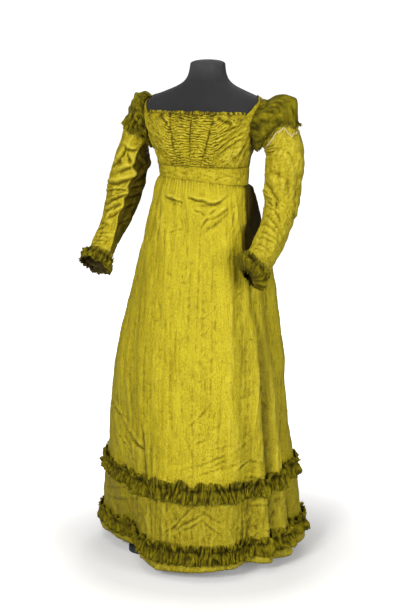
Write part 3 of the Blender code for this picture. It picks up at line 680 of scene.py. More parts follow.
silk = makeSilk("goldenSilk", silkLook)
shadedSilk = makeSilk("silkInDeeperShade", shadedSilkLook)
sleeveShadedSilk = makeSilk("sleeveShadedSilk", sleeveShadedLook)
lining = makeInsideShade("liningPaintedShade", insideShadeLook)
gauze = makeGauze("oliveGauze", gauzeLook)
sheerGauze = makeGauze("sheerGauze", dict(gauzeLook, light=(0.31, 0.262, 0.008, 1.0), sheer=0.85,
                                          streaks=(48.0, 15.0, 1.0)))
darkGauze = makeGauze("darkGauze", dict(gauzeLook, light=(0.27, 0.225, 0.007, 1.0), sheer=0.35))
formCover = makeFormCover("charcoalJersey", formLook)
standPaint = makeStandPaint("standPaint", standLook)
creamThread = makeThread("creamThread", creamLook)
threadEnds = makeThread("oliveThreadEnds", endsLook)
print("materials made")


# the body under the bodice
bodyShape = {
    "squareness": 2.4,
    "sections": (
        # height, side, front, back, set back
        (0.86, 0.128, 0.092, 0.108, 0.0),
        (0.93, 0.126, 0.092, 0.104, 0.0),
        (1.02, 0.118, 0.094, 0.084, 0.0),
        (1.11, 0.121, 0.101, 0.075, 0.0),
        (1.15, 0.123, 0.107, 0.079, 0.0),
        (1.19, 0.132, 0.116, 0.088, 0.0),
        (1.225, 0.147, 0.12, 0.095, 0.0),
        (1.26, 0.164, 0.117, 0.097, 0.001),
        (1.295, 0.175, 0.109, 0.093, 0.003),
        (1.325, 0.178, 0.096, 0.085, 0.006),
        (1.343, 0.169, 0.083, 0.075, 0.009),
        (1.357, 0.149, 0.073, 0.064, 0.012),
        (1.37, 0.117, 0.066, 0.056, 0.015),
        (1.383, 0.086, 0.062, 0.052, 0.018),
        (1.396, 0.066, 0.058, 0.05, 0.021),
        (1.412, 0.055, 0.054, 0.049, 0.023),
        (1.43, 0.0505, 0.049, 0.047, 0.024),
        (1.444, 0.049, 0.047, 0.046, 0.025),
    ),
    "room": ((1.1, 0.004), (1.15, 0.0032), (1.19, 0.002), (1.225, 0.0014),
             (1.3, 0.0016), (1.33, 0.0014), (1.37, 0.0014)),
    "neckTop": 1.457,
}
formSide, formFront, formBack, formSetBack = curvesOf(bodyShape["sections"])
formRoom = curveOf(bodyShape["room"], 1)


def formPoint(angle, height):
    reach = oval(angle, formSide(height), formFront(height), formBack(height),
                 bodyShape["squareness"])
    return polar(angle, reach, height) + Vector((0.0, formSetBack(height), 0.0))


def formNormal(angle, height):
    roundBody = formPoint(angle + 0.6, height) - formPoint(angle - 0.6, height)
    upward = formPoint(angle, height + 0.002) - formPoint(angle, height - 0.002)
    return roundBody.cross(upward).normalized()


def overForm(angle, height, extra=0.0):
    return formPoint(angle, height) + formNormal(angle, height) * (formRoom(height) + extra)


formPiece = {
    "columns": 96, "rows": 100, "flat": (0.9, 0.9), "bottom": 0.86, "domeFrom": 1.444,
    "underside": 0.05, "dome": 0.1,  # shares of the rows
}


def makeForm():
    low, high = formPiece["bottom"], formPiece["domeFrom"]
    underside, dome = formPiece["underside"], formPiece["dome"]
    neckRise = bodyShape["neckTop"] - high

    def place(across, up):
        angle = 360 * across - 180
        if up < underside:  # flat and closed, with a rounded edge
            part = up / underside
            return formPoint(angle, low).lerp(Vector((0, 0, low)), 1 - ease(part) ** 0.5)
        if up > 1 - dome:  # top of the neck
            point = formPoint(angle, high)
            centre = Vector((0, formSetBack(high), high))
            turn = (up - 1 + dome) / dome * pi / 2
            point = centre + (point - centre) * cos(turn) ** 0.8
            return point + Vector((0, 0, neckRise * sin(turn)))
        return formPoint(angle, mix(low, high, (up - underside) / (1 - underside - dome)))

    piece = clothPiece("formTorso", formPiece, place, formCover, ["dress_form"],
                       closed=True, wall=0.0)
    bm = bmesh.new()
    bm.from_mesh(piece.data)
    bmesh.ops.remove_doubles(bm, verts=bm.verts[:], dist=1e-5)
    bmesh.ops.recalc_face_normals(bm, faces=bm.faces[:])
    bm.to_mesh(piece.data)
    bm.free()
    return piece


standShape = {
    "shift": -0.035, "gap": 0.0003, "poleRadius": 0.0125, "steps": 48,
    "flange": (
        # out, up: the turned foot of the pole
        (0.0, 0.0), (0.033, 0.0), (0.034, 0.001), (0.034, 0.005), (0.032, 0.0075),
        (0.0185, 0.0085), (0.016, 0.012), (0.016, 0.05), (0.0145, 0.053), (0.0125, 0.055),
    ),
    "reach": 0.195, "armWidth": 0.104, "turn": 20.0, "thickness": 0.016, "edge": 0.003,
    "endSteps": 20,
}


def finishStand(name, bm, nodes):
    bmesh.ops.recalc_face_normals(bm, faces=bm.faces[:])
    bmesh.ops.translate(bm, verts=bm.verts[:], vec=(standShape["shift"], 0.0, 0.0))
    piece = finishPiece(name, bm, standPaint, nodes)
    piece.data.set_sharp_from_angle(angle=radians(40))
    return piece


def makePole():
    low = standShape["thickness"] + standShape["gap"]
    high, radius = formPiece["bottom"] - standShape["gap"], standShape["poleRadius"]
    profile = [(out, low + up) for out, up in standShape["flange"]]
    profile += [(radius, high - 0.002), (radius - 0.001, high), (0.0, high)]
    bm = bmesh.new()
    verts = [bm.verts.new((out, 0.0, height)) for out, height in profile]
    for start, end in zip(verts, verts[1:]):
        bm.edges.new((start, end))
    bmesh.ops.spin(bm, geom=bm.verts[:] + bm.edges[:], cent=(0, 0, 0), axis=(0, 0, 1),
                   angle=2 * pi, steps=standShape["steps"], use_merge=True)
    bmesh.ops.remove_doubles(bm, verts=bm.verts[:], dist=1e-6)
    return finishStand("standPole", bm, ["stand_pole"])


def makeFoot():
    half, steps = standShape["armWidth"] / 2, standShape["endSteps"]
    end = standShape["reach"] - half
    bm = bmesh.new()
    outline = []
    for arm in range(4):
        quarter = radians(90.0 * arm + standShape["turn"])
        along = Vector((cos(quarter), sin(quarter), 0.0))
        across = Vector((-sin(quarter), cos(quarter), 0.0))
        for k in range(steps + 1):
            t = -pi / 2 + pi * k / steps
            outline.append(along * (end + half * cos(t)) + across * half * sin(t))
        outline.append(along * half + across * half)
    face = bm.faces.new([bm.verts.new(point) for point in outline])
    face.normal_update()
    grown = bmesh.ops.extrude_face_region(bm, geom=[face])
    top = [item for item in grown["geom"] if isinstance(item, bmesh.types.BMVert)]
    bmesh.ops.translate(bm, verts=top, vec=(0.0, 0.0, standShape["thickness"]))
    upper = [edge for edge in bm.edges
             if all(v.co.z > standShape["thickness"] / 2 for v in edge.verts)]
    bmesh.ops.bevel(bm, geom=upper, offset=standShape["edge"], segments=4, profile=0.5,
                    affect="EDGES", material=-1)
    return finishStand("standFoot", bm, ["stand_base"])


makeForm()
makePole()
makeFoot()
print("form and stand made")


# the bodice
clothWall = 0.002  # from the form to the outside of the cloth
seamGap = 0.0003  # left between neighbours, in metres
seamAngle = 0.12  # the same in degrees
bandShape = {
    "edges": ((-180, 1.16, 1.121), (-90, 1.166, 1.133), (0, 1.167, 1.127), (90, 1.159, 1.107),
              (180, 1.16, 1.121)),
    "folds": (
        # angle, height, to angle, to height, width, rise, bend
        (-60, 1.146, -30, 1.152, 0.0035, 0.0012, 0.001), (-34, 1.151, -14, 1.137, 0.0035, 0.0013),
        (-22, 1.158, 4, 1.148, 0.003, 0.001, 0.001), (-8, 1.134, 16, 1.146, 0.0035, 0.0012),
        (12, 1.156, 34, 1.14, 0.0035, 0.0014), (26, 1.128, 44, 1.144, 0.003, 0.001),
        (46, 1.15, 78, 1.128, 0.0035, 0.0013, 0.001), (60, 1.152, 88, 1.146, 0.003, 0.001),
        (-96, 1.15, -70, 1.142, 0.0035, 0.0011), (110, 1.146, 150, 1.132, 0.004, 0.0012),
        (-160, 1.136, -120, 1.148, 0.004, 0.0012), (165, 1.14, 200, 1.15, 0.004, 0.001),
    ),
}
bandTop = curveOf(bandShape["edges"], 1)
bandBottom = curveOf(bandShape["edges"], 2)

armholeShape = {"angle": 91.0, "spread": 20.5, "height": 1.28, "half": 0.059,
                "metresPerDegree": 0.0026}


def armhole(turn, shrink=0.0):
    t = radians(turn)
    spread = armholeShape["spread"] - shrink / armholeShape["metresPerDegree"]
    return (armholeShape["angle"] - spread * cos(t),
            armholeShape["height"] - (armholeShape["half"] - shrink) * sin(t))


sideFrontShape = (
    # inner angle, inner height, outer angle, outer height, armhole turn
    (30.0, 1.167, 91.0, 1.163, None),
    (36.5, 1.191, 91.0, 1.19, None),
    (43.5, 1.221, None, None, 88.0),
    (50.5, 1.252, None, None, 52.0),
    (58.0, 1.283, None, None, 22.0),
    (64.0, 1.308, None, None, -8.0),
    (73.5, 1.332, None, None, -36.0),
    (86.0, 1.352, None, None, -63.0),
    (98.0, 1.358, None, None, -92.0),
    (109.0, 1.352, None, None, -118.0),
    (119.0, 1.332, None, None, -142.0),
    (126.0, 1.3046, None, None, -158.0),
)
halfBackShape = (
    # centre height, outer angle, outer height, armhole turn
    (1.161, 91.0, 1.163, None),
    (1.19, 91.0, 1.19, None),
    (1.222, None, None, 92.0),
    (1.256, None, None, 130.0),
    (1.286, None, None, 168.0),
    (1.314, None, None, 200.5),
)
neckRow = 5


def outerEdge(first, second, part):
    if first[2] is not None and second[2] is not None:
        return armhole(mix(first[2], second[2], part))
    ends = [row[:2] if row[2] is None else armhole(row[2]) for row in (first, second)]
    return mix(ends[0][0], ends[1][0], part), mix(ends[0][1], ends[1][1], part)


def sideFrontEdges(row):
    low = min(int(row), len(sideFrontShape) - 2)
    first, second = sideFrontShape[low], sideFrontShape[low + 1]
    part = row - low
    inner = (mix(first[0], second[0], part), mix(first[1], second[1], part))
    return inner, outerEdge(first[2:], second[2:], part)


bodyScale = 0.0023  # metres to a degree round the bodice
frontShape = {
    "top": 1.3046,
    "pitch": 0.0072, "depth": 0.0046, "crown": 0.0056,
    "lines": (-0.52, 0.0, 0.49), "lineDepth": 0.0036, "lineHalf": 0.016, "lineStray": 0.012,
    "fan": 11.0, "fanFrom": 0.058,
    "sag": 0.011, "step": 0.0019,  # of the wrinkles in a panel, and between panels
    "planes": 0.006, "planeSize": 0.02,
    "neckShade": 0.85, "lineShade": 0.6, "bandShade": 0.4, "allShade": 0.05,
    "tucks": (
        # across, up, to across, to up, width, rise, bend: folds where the neck is drawn in
        (0.62, 1.02, 0.94, 0.86, 0.034, 0.009, 0.0), (0.76, 0.74, 0.94, 0.88, 0.028, 0.006, 0.0),
        (0.5, 0.8, 0.74, 0.96, 0.03, 0.0036, 0.02), (0.1, 0.99, 0.22, 0.82, 0.03, 0.003, 0.0),
        (-0.66, 1.0, -0.54, 0.84, 0.026, 0.0085, 0.0),
        (-0.74, 0.78, -0.6, 0.9, 0.024, 0.0034, 0.0),
        (-0.97, 0.84, -0.7, 0.62, 0.03, 0.0026, 0.02),
        (-0.96, 0.66, -0.66, 0.4, 0.03, 0.0024, 0.02),
        (-0.4, 0.98, -0.24, 0.86, 0.026, 0.0024, 0.0),
        (0.62, 0.42, 1.04, 0.84, 0.036, 0.004, 0.02),
        (0.74, 0.38, 1.14, 0.76, 0.034, 0.0036, 0.02), (0.6, 0.26, 0.94, 0.6, 0.03, 0.003, 0.02),
        (0.92, 0.34, 1.22, 0.66, 0.036, 0.0032, 0.02),
        (-0.95, 0.36, -0.58, 0.14, 0.03, 0.0026, 0.0),
        (-1.3, 0.3, -0.86, 0.08, 0.036, 0.0026, 0.0),
    ),
}


def frontRise(angle, height):
    # gathered front: panels swell between the gathering lines, with small sharp wrinkles
    # that lie level in the middle and fan upwards towards the arms
    shape = frontShape
    low = bandTop(angle)
    up = (height - low) / (shape["top"] - low)
    across = angle / frontLimit(height)
    x = angle * bodyScale
    lines = (-1.0,) + shape["lines"] + (1.0,)
    k = sum(1 for line in lines[1:-1] if across > line)
    part = clamp((across - lines[k]) / (lines[k + 1] - lines[k]))
    crown = shape["crown"] * sin(pi * part) ** 0.8 if 0 < part < 1 else 0.0
    crown *= clamp(min(0.35 + 2.2 * up, 5.0 * (1.06 - up)))
    drawnIn = 0.0
    for line in lines[1:-1]:
        off = across - line - shape["lineStray"] * rough(height, line, 0.02, 6.0)
        drawn = shape["lineDepth"] * exp(-(off / shape["lineHalf"]) ** 2)
        drawnIn += drawn * ease(3 * up - 0.3) * (0.6 + 1.1 * rough(height, line, 0.01, 5.0))
    level = height - shape["fan"] * max(0.0, abs(x) - shape["fanFrom"]) ** 2
    level += shape["sag"] * (part - 0.5) ** 2 * (0 < k < 3) + k * shape["step"]
    drift = (0.8 * rough(x, level, 0.03, 10.0 + 9 * k)
             + 0.5 * rough(x, level * 2.2, 0.011, 13.0 + k))
    wave = level / shape["pitch"] + drift
    valley = (1 - abs(sin(pi * wave))) ** 1.7
    size = clamp(0.85 + 1.2 * rough(x * 0.6, level, 0.015, 16.0 + k), 0.15, 1.5)
    reach = ((0.12 + 0.88 * ease((1.24 - abs(across)) / 0.4)) * ease((1.03 - up) / 0.1 + 0.35))
    ruche = shape["depth"] * (0.4 - 1.35 * valley) * size * reach
    planes = shape["planes"] * crumple(Vector((x * 0.8, height * 1.3, 3.0 + k)),
                                       shape["planeSize"])
    tucks = strokes(*strayed(across, up, 0.025, 0.16, 71.0), shape["tucks"])
    return crown + ruche + planes + tucks - drawnIn


def frontShade(angle, height):
    # painted shade in pockets between the tucks at the neck, along the gathers and over the band
    shape = frontShape
    low = bandTop(angle)
    across, x = angle / frontLimit(height), angle * bodyScale
    pocket = clamp(0.15 + 1.9 * rough(x, height, 0.011, 44.0))
    depth = shape["neckShade"] * pocket * exp(-max(0.0, shape["top"] - height) / 0.013)
    for line in shape["lines"]:
        along = exp(-((across - line) / 0.03) ** 2)
        depth += shape["lineShade"] * pocket * along * ease((height - low - 0.02) / 0.05)
    depth += shape["bandShade"] * exp(-(height - low) / 0.004)
    return min(shape["neckShade"], depth + shape["allShade"])


frontLimit = curveOf([(row[1], row[0]) for row in sideFrontShape[:6]], 1)


def bodyFolds(angle, height, marks):
    return strokes(angle * bodyScale, height, marks)


def bandPuckers(angle, height, reach, waves, seed):
    # little tucks where the bodice is sewn into the band
    fade = 0.0012 * exp(-(height - bandTop(angle)) / reach)
    return fade * sin(angle * waves + 3 * rough(angle, 0, 9.0, seed))


def bent(marks):
    # folds are straight where their row has no bend
    return [mark if len(mark) == 7 else (*mark, 0.0) for mark in marks]


def onBody(marks):
    return [(a * bodyScale, b, c * bodyScale, d, width, rise, bend)
            for a, b, c, d, width, rise, bend in bent(marks)]


sideFrontPiece = {
    "columns": 40, "rows": 116, "flat": (0.11, 0.26), "width": 0.12,
    "armShade": {1: (0.9, 0.019, 1.185), -1: (0.6, 0.007, 1.2)},  # depth, reach, lowest
    "folds": (
        # on the gown's left; the right has its own
        (44, 1.178, 60, 1.212, 0.005, 0.0022, 0.002),
        (50, 1.176, 64, 1.232, 0.0055, 0.0026, 0.003),
        (56, 1.176, 67, 1.262, 0.006, 0.0024, 0.003), (66, 1.174, 71, 1.24, 0.006, 0.0018, 0.002),
        (62, 1.268, 70, 1.306, 0.004, 0.0014), (77, 1.18, 84, 1.212, 0.005, 0.0012),
        (-44, 1.18, -56, 1.206, 0.005, 0.0022, -0.002),
        (-52, 1.176, -62, 1.226, 0.005, 0.0022, -0.002),
        (-60, 1.178, -67, 1.244, 0.0055, 0.0018, -0.002), (-64, 1.262, -70, 1.304, 0.004, 0.0014),
        (-76, 1.176, -82, 1.214, 0.005, 0.0014),
    ),
}


def makeSideFront(side):
    marks = onBody(sideFrontPiece["folds"])
    lastRow, wide = len(sideFrontShape) - 1, sideFrontPiece["width"]

    def spot(across, up, seam=0.0):
        inner, outer = sideFrontEdges(up * lastRow)
        part = across if side > 0 else 1 - across
        return part, side * mix(inner[0], outer[0] - seam, part), mix(inner[1], outer[1], part)

    def place(across, up):
        part, angle, height = spot(across, up, seamAngle * (up * lastRow < 2.5))
        if up == 0:
            height = bandTop(angle) + seamGap * 2
        rise = bodyFolds(angle, height, marks)
        rise += frontRise(angle, height) * ease((1.34 - height) / 0.05)
        rise += bandPuckers(angle, height, 0.014, 1.9, 2)
        rise *= ease((1 - part) * wide / 0.006)
        pinch = 0.0005 * exp(-((1 - part) * wide / 0.0022) ** 2)
        return overForm(angle, height, clothWall + rise - pinch)

    def paintedShade(across, up):
        # painted shade against the armhole, and over the band
        part, angle, height = spot(across, up)
        depth, reach, lowest = sideFrontPiece["armShade"][side]
        tight = exp(-((1 - part) * wide / reach)) * (depth * ease((height - lowest) / 0.03))
        return max(tight, 0.45 * exp(-(height - bandTop(angle)) / 0.004))

    name = sideName(side)
    piece = clothPiece("silkSideFront" + name, sideFrontPiece, place, shadedSilk,
                       ["bodice_side_front_" + name.lower()], paintedShade=paintedShade)
    return piece


halfBackPiece = {
    "columns": 44, "rows": 44, "flat": (0.19, 0.15), "length": 0.13,
    "planes": 0.0034, "planeSize": 0.026, "neckTurning": 0.001,
    "armShade": 0.8, "shadeReach": 0.026,
    "folds": (
        (128, 1.18, 150, 1.206, 0.005, 0.0014), (140, 1.196, 168, 1.24, 0.006, 0.0016, 0.002),
        (104, 1.178, 118, 1.214, 0.005, 0.0014), (150, 1.262, 172, 1.25, 0.0045, 0.0012),
        (-130, 1.178, -146, 1.214, 0.005, 0.0015), (-142, 1.222, -170, 1.2, 0.006, 0.0016),
        (-102, 1.182, -116, 1.206, 0.005, 0.0013), (-152, 1.27, -172, 1.286, 0.0045, 0.0012),
    ),
}


def makeHalfBack(side):
    marks = onBody(halfBackPiece["folds"])
    lastRow = len(halfBackShape) - 1
    wide, long = halfBackPiece["flat"][0], halfBackPiece["length"]

    def place(across, up):
        row = up * lastRow
        low = min(int(row), lastRow - 1)
        first, second = halfBackShape[low], halfBackShape[low + 1]
        part = row - low
        inner = (180.0 - seamAngle, mix(first[0], second[0], part))
        outer = outerEdge(first[1:], second[1:], part)
        outer = (outer[0] + seamAngle * (2 if up == 1 else row < 2.5), outer[1])
        share = 1 - across if side > 0 else across
        angle = side * mix(inner[0], outer[0], share)
        height = mix(inner[1], outer[1], share)
        if up == 0:
            height = bandTop(angle) + seamGap * 2
        edge = min(share, 1 - share) * wide
        rise = bodyFolds(angle, height, marks) + bandPuckers(angle, height, 0.016, 1.8, 5)
        rise += halfBackPiece["planes"] * crumple(Vector((angle * bodyScale, height, 6.0)),
                                                  halfBackPiece["planeSize"])
        hemmed = halfBackPiece["neckTurning"] * exp(-((1 - up) * long / 0.005) ** 2)
        rise = rise * ease(edge / 0.01) * ease((1 - up) * 10) + hemmed
        pinch = 0.0007 * exp(-(edge / 0.0022) ** 2)
        return overForm(angle, height, clothWall + rise - pinch)

    def paintedShade(across, up):  # painted shade under the arm
        share = 1 - across if side > 0 else across
        return halfBackPiece["armShade"] * exp(
            -(1 - share) * wide / halfBackPiece["shadeReach"])

    name = sideName(side)
    piece = clothPiece("silkHalfBack" + name, halfBackPiece, place, silk,
                       ["bodice_back_" + name.lower()], paintedShade=paintedShade)
    return piece


ruchedPiece = {"columns": 124, "rows": 176, "flat": (0.3, 0.19)}


def makeCentreFront():
    def spot(across, up):
        reach, height = sideFrontEdges(up * neckRow)[0]
        return reach * (2 * across - 1), height

    def place(across, up):
        angle, height = spot(across, up)
        if up == 0:
            height = bandTop(angle) + seamGap * 2
        return overForm(angle, height, clothWall + frontRise(angle, height))

    def paintedShade(across, up):
        return frontShade(*spot(across, up))

    piece = clothPiece("silkCentreFront", ruchedPiece, place, shadedSilk,
                       ["bodice_centre_front"], paintedShade=paintedShade)
    return piece


casingPiece = {
    "columns": 300, "rows": 14, "flat": (0.55, 0.018), "height": 0.008,
    "swell": 0.0021, "gathers": 33, "gatherDepth": 0.0006, "planes": 0.01, "planeSize": 0.013,
    "edgeWave": 0.0004, "edgeStray": 0.0014,
    "shade": 0.56, "leastShade": 0.26, "mostShade": 0.92,
}


def makeCasing():
    shape = casingPiece
    reach, neckHeight = sideFrontEdges(neckRow)[0]

    def place(across, up):
        angle = (reach - 4 * seamAngle) * (2 * across - 1)
        x = angle * bodyScale
        height = neckHeight + 2 * seamGap + shape["height"] * up
        swell = shape["swell"] * (0.3 + 0.7 * sin(pi * up) ** 0.6)
        phase = across * shape["gathers"] + 3.2 * rough(across, 0, 0.05, 3.0)
        gather = shape["gatherDepth"] * sin(2 * pi * phase)
        gather *= 0.6 + 0.6 * sin(pi * up)
        gather += shape["planes"] * crumple(Vector((x, height, 8.0)), shape["planeSize"])
        height += (shape["edgeWave"] * sin(2 * pi * phase * 0.5 + 1.0)
                   + shape["edgeStray"] * rough(x, 0, 0.012, 2.0)) * up
        return overForm(angle, height, clothWall + swell + gather)

    def paintedShade(across, up):
        # uneven painted shade along the gathered casing
        return clamp(shape["shade"] + 1.3 * rough(across, up * 0.01, 0.016, 61.0),
                     shape["leastShade"], shape["mostShade"])

    piece = clothPiece("silkNeckCasing", shape, place, shadedSilk, ["neckline_casing"],
                       paintedShade=paintedShade)
    return piece


bandPiece = {
    "columns": 240, "rows": 22, "flat": (0.72, 0.042), "swell": 0.0006,
    "planes": 0.005, "planeSize": 0.026, "puckers": 0.0006,
    "lowerShade": 0.5, "upperShade": 0.35, "allShade": 0.06,
    "armShade": 0.62, "armAngle": 112, "armSpread": 15,
}


def makeWaistband():
    shape = bandPiece
    marks = onBody(bandShape["folds"])

    def place(across, up):
        angle = 360 * across - 180
        height = mix(bandBottom(angle), bandTop(angle), up)
        inside = sin(pi * up)
        rise = bodyFolds(angle, height, marks) + bodyFolds(angle - 360, height, marks)
        rise += shape["planes"] * crumple(Vector((angle * bodyScale, height * 1.4, 9.0)),
                                          shape["planeSize"])
        puckers = shape["puckers"] * sin(angle * 2.3 + 4 * rough(angle, 0, 8.0, 1.0))
        puckers *= (1 - inside)
        return overForm(angle, height, clothWall + rise * inside ** 0.6
                        + puckers * ease(min(up, 1 - up) * 12) + shape["swell"] * inside)

    def paintedShade(across, up):
        # painted shade along both edges, a little all over, and under the gown's left arm
        edge = shape["lowerShade"] * exp(-up * 16)
        edge *= clamp(0.5 + 1.5 * rough(across, 0, 0.02, 62.0))
        edge += shape["upperShade"] * exp(-(1 - up) * 18) + shape["allShade"]
        underArm = bump(360 * across - 180, shape["armAngle"], shape["armSpread"])
        return max(edge, shape["armShade"] * underArm)

    piece = clothPiece("silkWaistband", shape, place, silk, ["waistband"], closed=True,
                       paintedShade=paintedShade)
    return piece


for side in (1, -1):
    makeSideFront(side)
    makeHalfBack(side)
makeCentreFront()
makeCasing()
makeWaistband()
print("bodice made")


# the skirt
skirtShape = {
    "squareness": 2.15,
    "turn": 5.0, "turnTop": 1.11, "turnFull": 1.0,
    "hem": 0.025,
    "sections": (
        # height, right, left, front, back, back corners
        (1.133, 0.132, 0.1305, 0.117, 0.086, 0.0), (1.1, 0.141, 0.131, 0.118, 0.102, 0.004),
        (1.05, 0.152, 0.134, 0.12, 0.136, 0.01), (1.0, 0.164, 0.138, 0.125, 0.168, 0.014),
        (0.9, 0.187, 0.148, 0.146, 0.202, 0.02), (0.8, 0.21, 0.164, 0.164, 0.226, 0.022),
        (0.65, 0.246, 0.188, 0.189, 0.254, 0.016), (0.5, 0.279, 0.208, 0.209, 0.276, 0.008),
        (0.35, 0.305, 0.226, 0.227, 0.298, 0.002), (0.2, 0.326, 0.242, 0.244, 0.318, 0.002),
        (0.087, 0.34, 0.256, 0.256, 0.332, 0.002), (0.025, 0.347, 0.262, 0.26, 0.34, 0.002),
    ),
    "corner": 117.0, "cornerSpread": 15.0, "backSeam": 120.0,
    "flutes": 8, "fluteTop": 1.12, "fluteAtBand": 0.0045, "fluteAtHem": 0.017,
    "folds": (
        # angle, spread, hem depth, top, curve
        (-62.0, 17.0, -0.128, 0.66, 1.5),
        (-88.0, 7.0, -0.022, 0.5, 1.0),
        (-99.0, 7.0, 0.016, 0.95, 0.8),
        (-33.0, 8.5, -0.019, 0.8, 1.0),
        (-12.0, 8.0, 0.008, 0.6, 1.0),
        (14.0, 9.0, 0.012, 0.45, 1.0),
        (35.0, 6.0, 0.01, 1.0, 0.4),
        (45.0, 9.0, -0.04, 0.36, 1.0),
        (60.0, 4.5, 0.012, 1.05, 0.3),
        (69.0, 5.0, -0.026, 1.0, 0.5),
        (82.0, 5.5, 0.014, 0.95, 0.5),
        (96.0, 6.0, -0.016, 0.9, 0.7),
        (112.0, 9.0, 0.026, 1.08, 0.4),
        (-116.0, 9.0, 0.018, 1.05, 0.5),
    ),
    "hemLifts": ((48.0, 9.0, 0.007), (24.0, 13.0, 0.009), (-84.0, 14.0, 0.006)),
}
skirtRight, skirtLeft, skirtFront, skirtBack, skirtCorner = curvesOf(skirtShape["sections"])

skirtCreases = (
    # angle, height, to angle, to height, width, rise, bend; the trough lies below or to the right
    (-37, 1.086, -23, 1.076, 0.0068, 0.01, 0.002),  # sagging folds under the gathers
    (-27, 1.08, -12, 1.071, 0.005, 0.007, 0.001), (-4, 1.086, 20, 1.077, 0.006, 0.0095, 0.002),
    (17, 1.074, 41, 1.078, 0.0062, 0.011, 0.006), (39, 1.078, 57, 1.118, 0.006, 0.004, 0.004),
    (-40, 1.086, -14, 1.074, 0.013, 0.006, 0.003), (-2, 1.088, 44, 1.082, 0.014, 0.006, 0.01),
    (8, 0.994, 50, 1.06, 0.012, 0.0046, 0.004), (4, 1.052, 18, 1.037, 0.0048, 0.0042),
    (20, 1.036, 30, 1.053, 0.0048, 0.0042), (33, 1.04, 45, 1.052, 0.0044, 0.0032),
    (-45, 1.1, -41, 0.96, 0.01, 0.009),
    (-52, 1.126, -47, 1.08, 0.005, 0.005),  # upright ones down from the band
    (-56, 1.052, -48, 0.98, 0.0066, 0.007), (-34, 0.985, -27, 0.88, 0.006, 0.0026),
    (-6, 1.09, -4, 0.9, 0.005, 0.002), (44, 0.995, 41, 0.92, 0.0045, 0.0036),
    (60, 1.056, 53, 0.985, 0.0055, 0.0044), (55, 1.018, 48, 0.986, 0.0045, 0.0036),
    (-2, 1.043, 8, 1.032, 0.0022, 0.0016),  # small crossed creases
    (-2, 1.031, 8, 1.046, 0.0022, 0.0016),
    (8, 1.002, 21, 1.031, 0.006, 0.0052, -0.002),  # folds running up to the left side
    (18, 1.026, 47, 1.055, 0.0065, 0.0046, 0.005), (-33, 0.985, -16, 0.998, 0.0045, 0.0022),
    (-6, 0.776, 23, 0.778, 0.0045, 0.0016, 0.026),  # faint hanging loop at the knee
    (-57, 0.728, -50, 0.704, 0.0045, 0.0026), (-54, 0.7, -46, 0.64, 0.006, 0.0022),
    (54, 0.692, 69, 0.661, 0.004, 0.0024),
    (-80, 0.47, -37, 0.366, 0.008, 0.0105, -0.006),  # long folds into the deep valley
    (-84, 0.44, -60, 0.345, 0.008, 0.008, -0.004), (-60, 0.41, -34, 0.352, 0.0055, 0.006),
    (-72, 0.386, -45, 0.325, 0.006, 0.0066), (-74, 0.3, -48, 0.262, 0.006, 0.003),
    (-34, 0.42, -25, 0.04, 0.012, 0.013),  # the front lies over the deep valley
    (0, 0.44, 20, 0.524, 0.0042, 0.003, 0.004), (4, 0.306, 30, 0.346, 0.0046, 0.0044, 0.003),
    (15, 0.333, 31, 0.358, 0.0042, 0.0036), (11, 0.352, 20, 0.374, 0.004, 0.0034),
    (35, 0.322, 49, 0.345, 0.0048, 0.005, -0.003), (48, 0.346, 60, 0.33, 0.0048, 0.0044),
    (44, 0.298, 61, 0.288, 0.0048, 0.004), (4, 0.394, 16, 0.415, 0.004, 0.0026),
    (18, 0.385, 34, 0.403, 0.004, 0.0024), (-4, 0.324, 50, 0.408, 0.006, 0.0026, 0.004),
    (24, 0.33, 44, 0.352, 0.0045, 0.0022),
    (8, 0.212, -6, 0.14, 0.004, 0.0032, 0.003),  # fan of creases over the lower ruffle
    (15, 0.192, -5, 0.138, 0.004, 0.0036, 0.004), (12, 0.216, 27, 0.172, 0.004, 0.0028),
    (50, 0.212, 80, 0.208, 0.0055, 0.0034, 0.004), (52, 0.15, 74, 0.118, 0.006, 0.0036, 0.006),
    (-1, 0.15, 14, 0.186, 0.0036, 0.0024), (13, 0.184, 16, 0.116, 0.004, 0.0022),
    (14, 0.184, 27, 0.136, 0.004, 0.0024), (-12, 0.14, -1, 0.178, 0.004, 0.0018),
    (42, 0.238, 44, 0.108, 0.004, 0.0026), (-96, 0.15, -46, 0.206, 0.0055, 0.003, 0.004),
    (-92, 0.178, -66, 0.218, 0.0045, 0.0022), (-90, 0.196, -74, 0.186, 0.004, 0.0018),
    (60, 0.56, 78, 0.47, 0.006, 0.0026),  # the sides
    (76, 0.42, 98, 0.5, 0.006, 0.0026), (84, 0.88, 100, 0.78, 0.006, 0.0026),
    (-110, 0.9, -86, 0.82, 0.006, 0.0026), (-104, 0.64, -80, 0.56, 0.0065, 0.003),
    (-114, 0.52, -92, 0.6, 0.006, 0.0026), (-80, 0.98, -62, 0.93, 0.006, 0.0024),
    (128, 0.92, 148, 0.84, 0.007, 0.003),  # the back, much like the front
    (150, 0.6, 178, 0.66, 0.007, 0.0032, 0.006), (190, 0.78, 216, 0.7, 0.007, 0.003),
    (140, 0.42, 168, 0.34, 0.007, 0.0036, 0.006), (196, 0.46, 226, 0.38, 0.007, 0.0034, 0.004),
    (126, 0.2, 150, 0.15, 0.006, 0.0028), (168, 0.15, 190, 0.196, 0.006, 0.0028),
    (204, 0.196, 230, 0.14, 0.006, 0.0028),
)
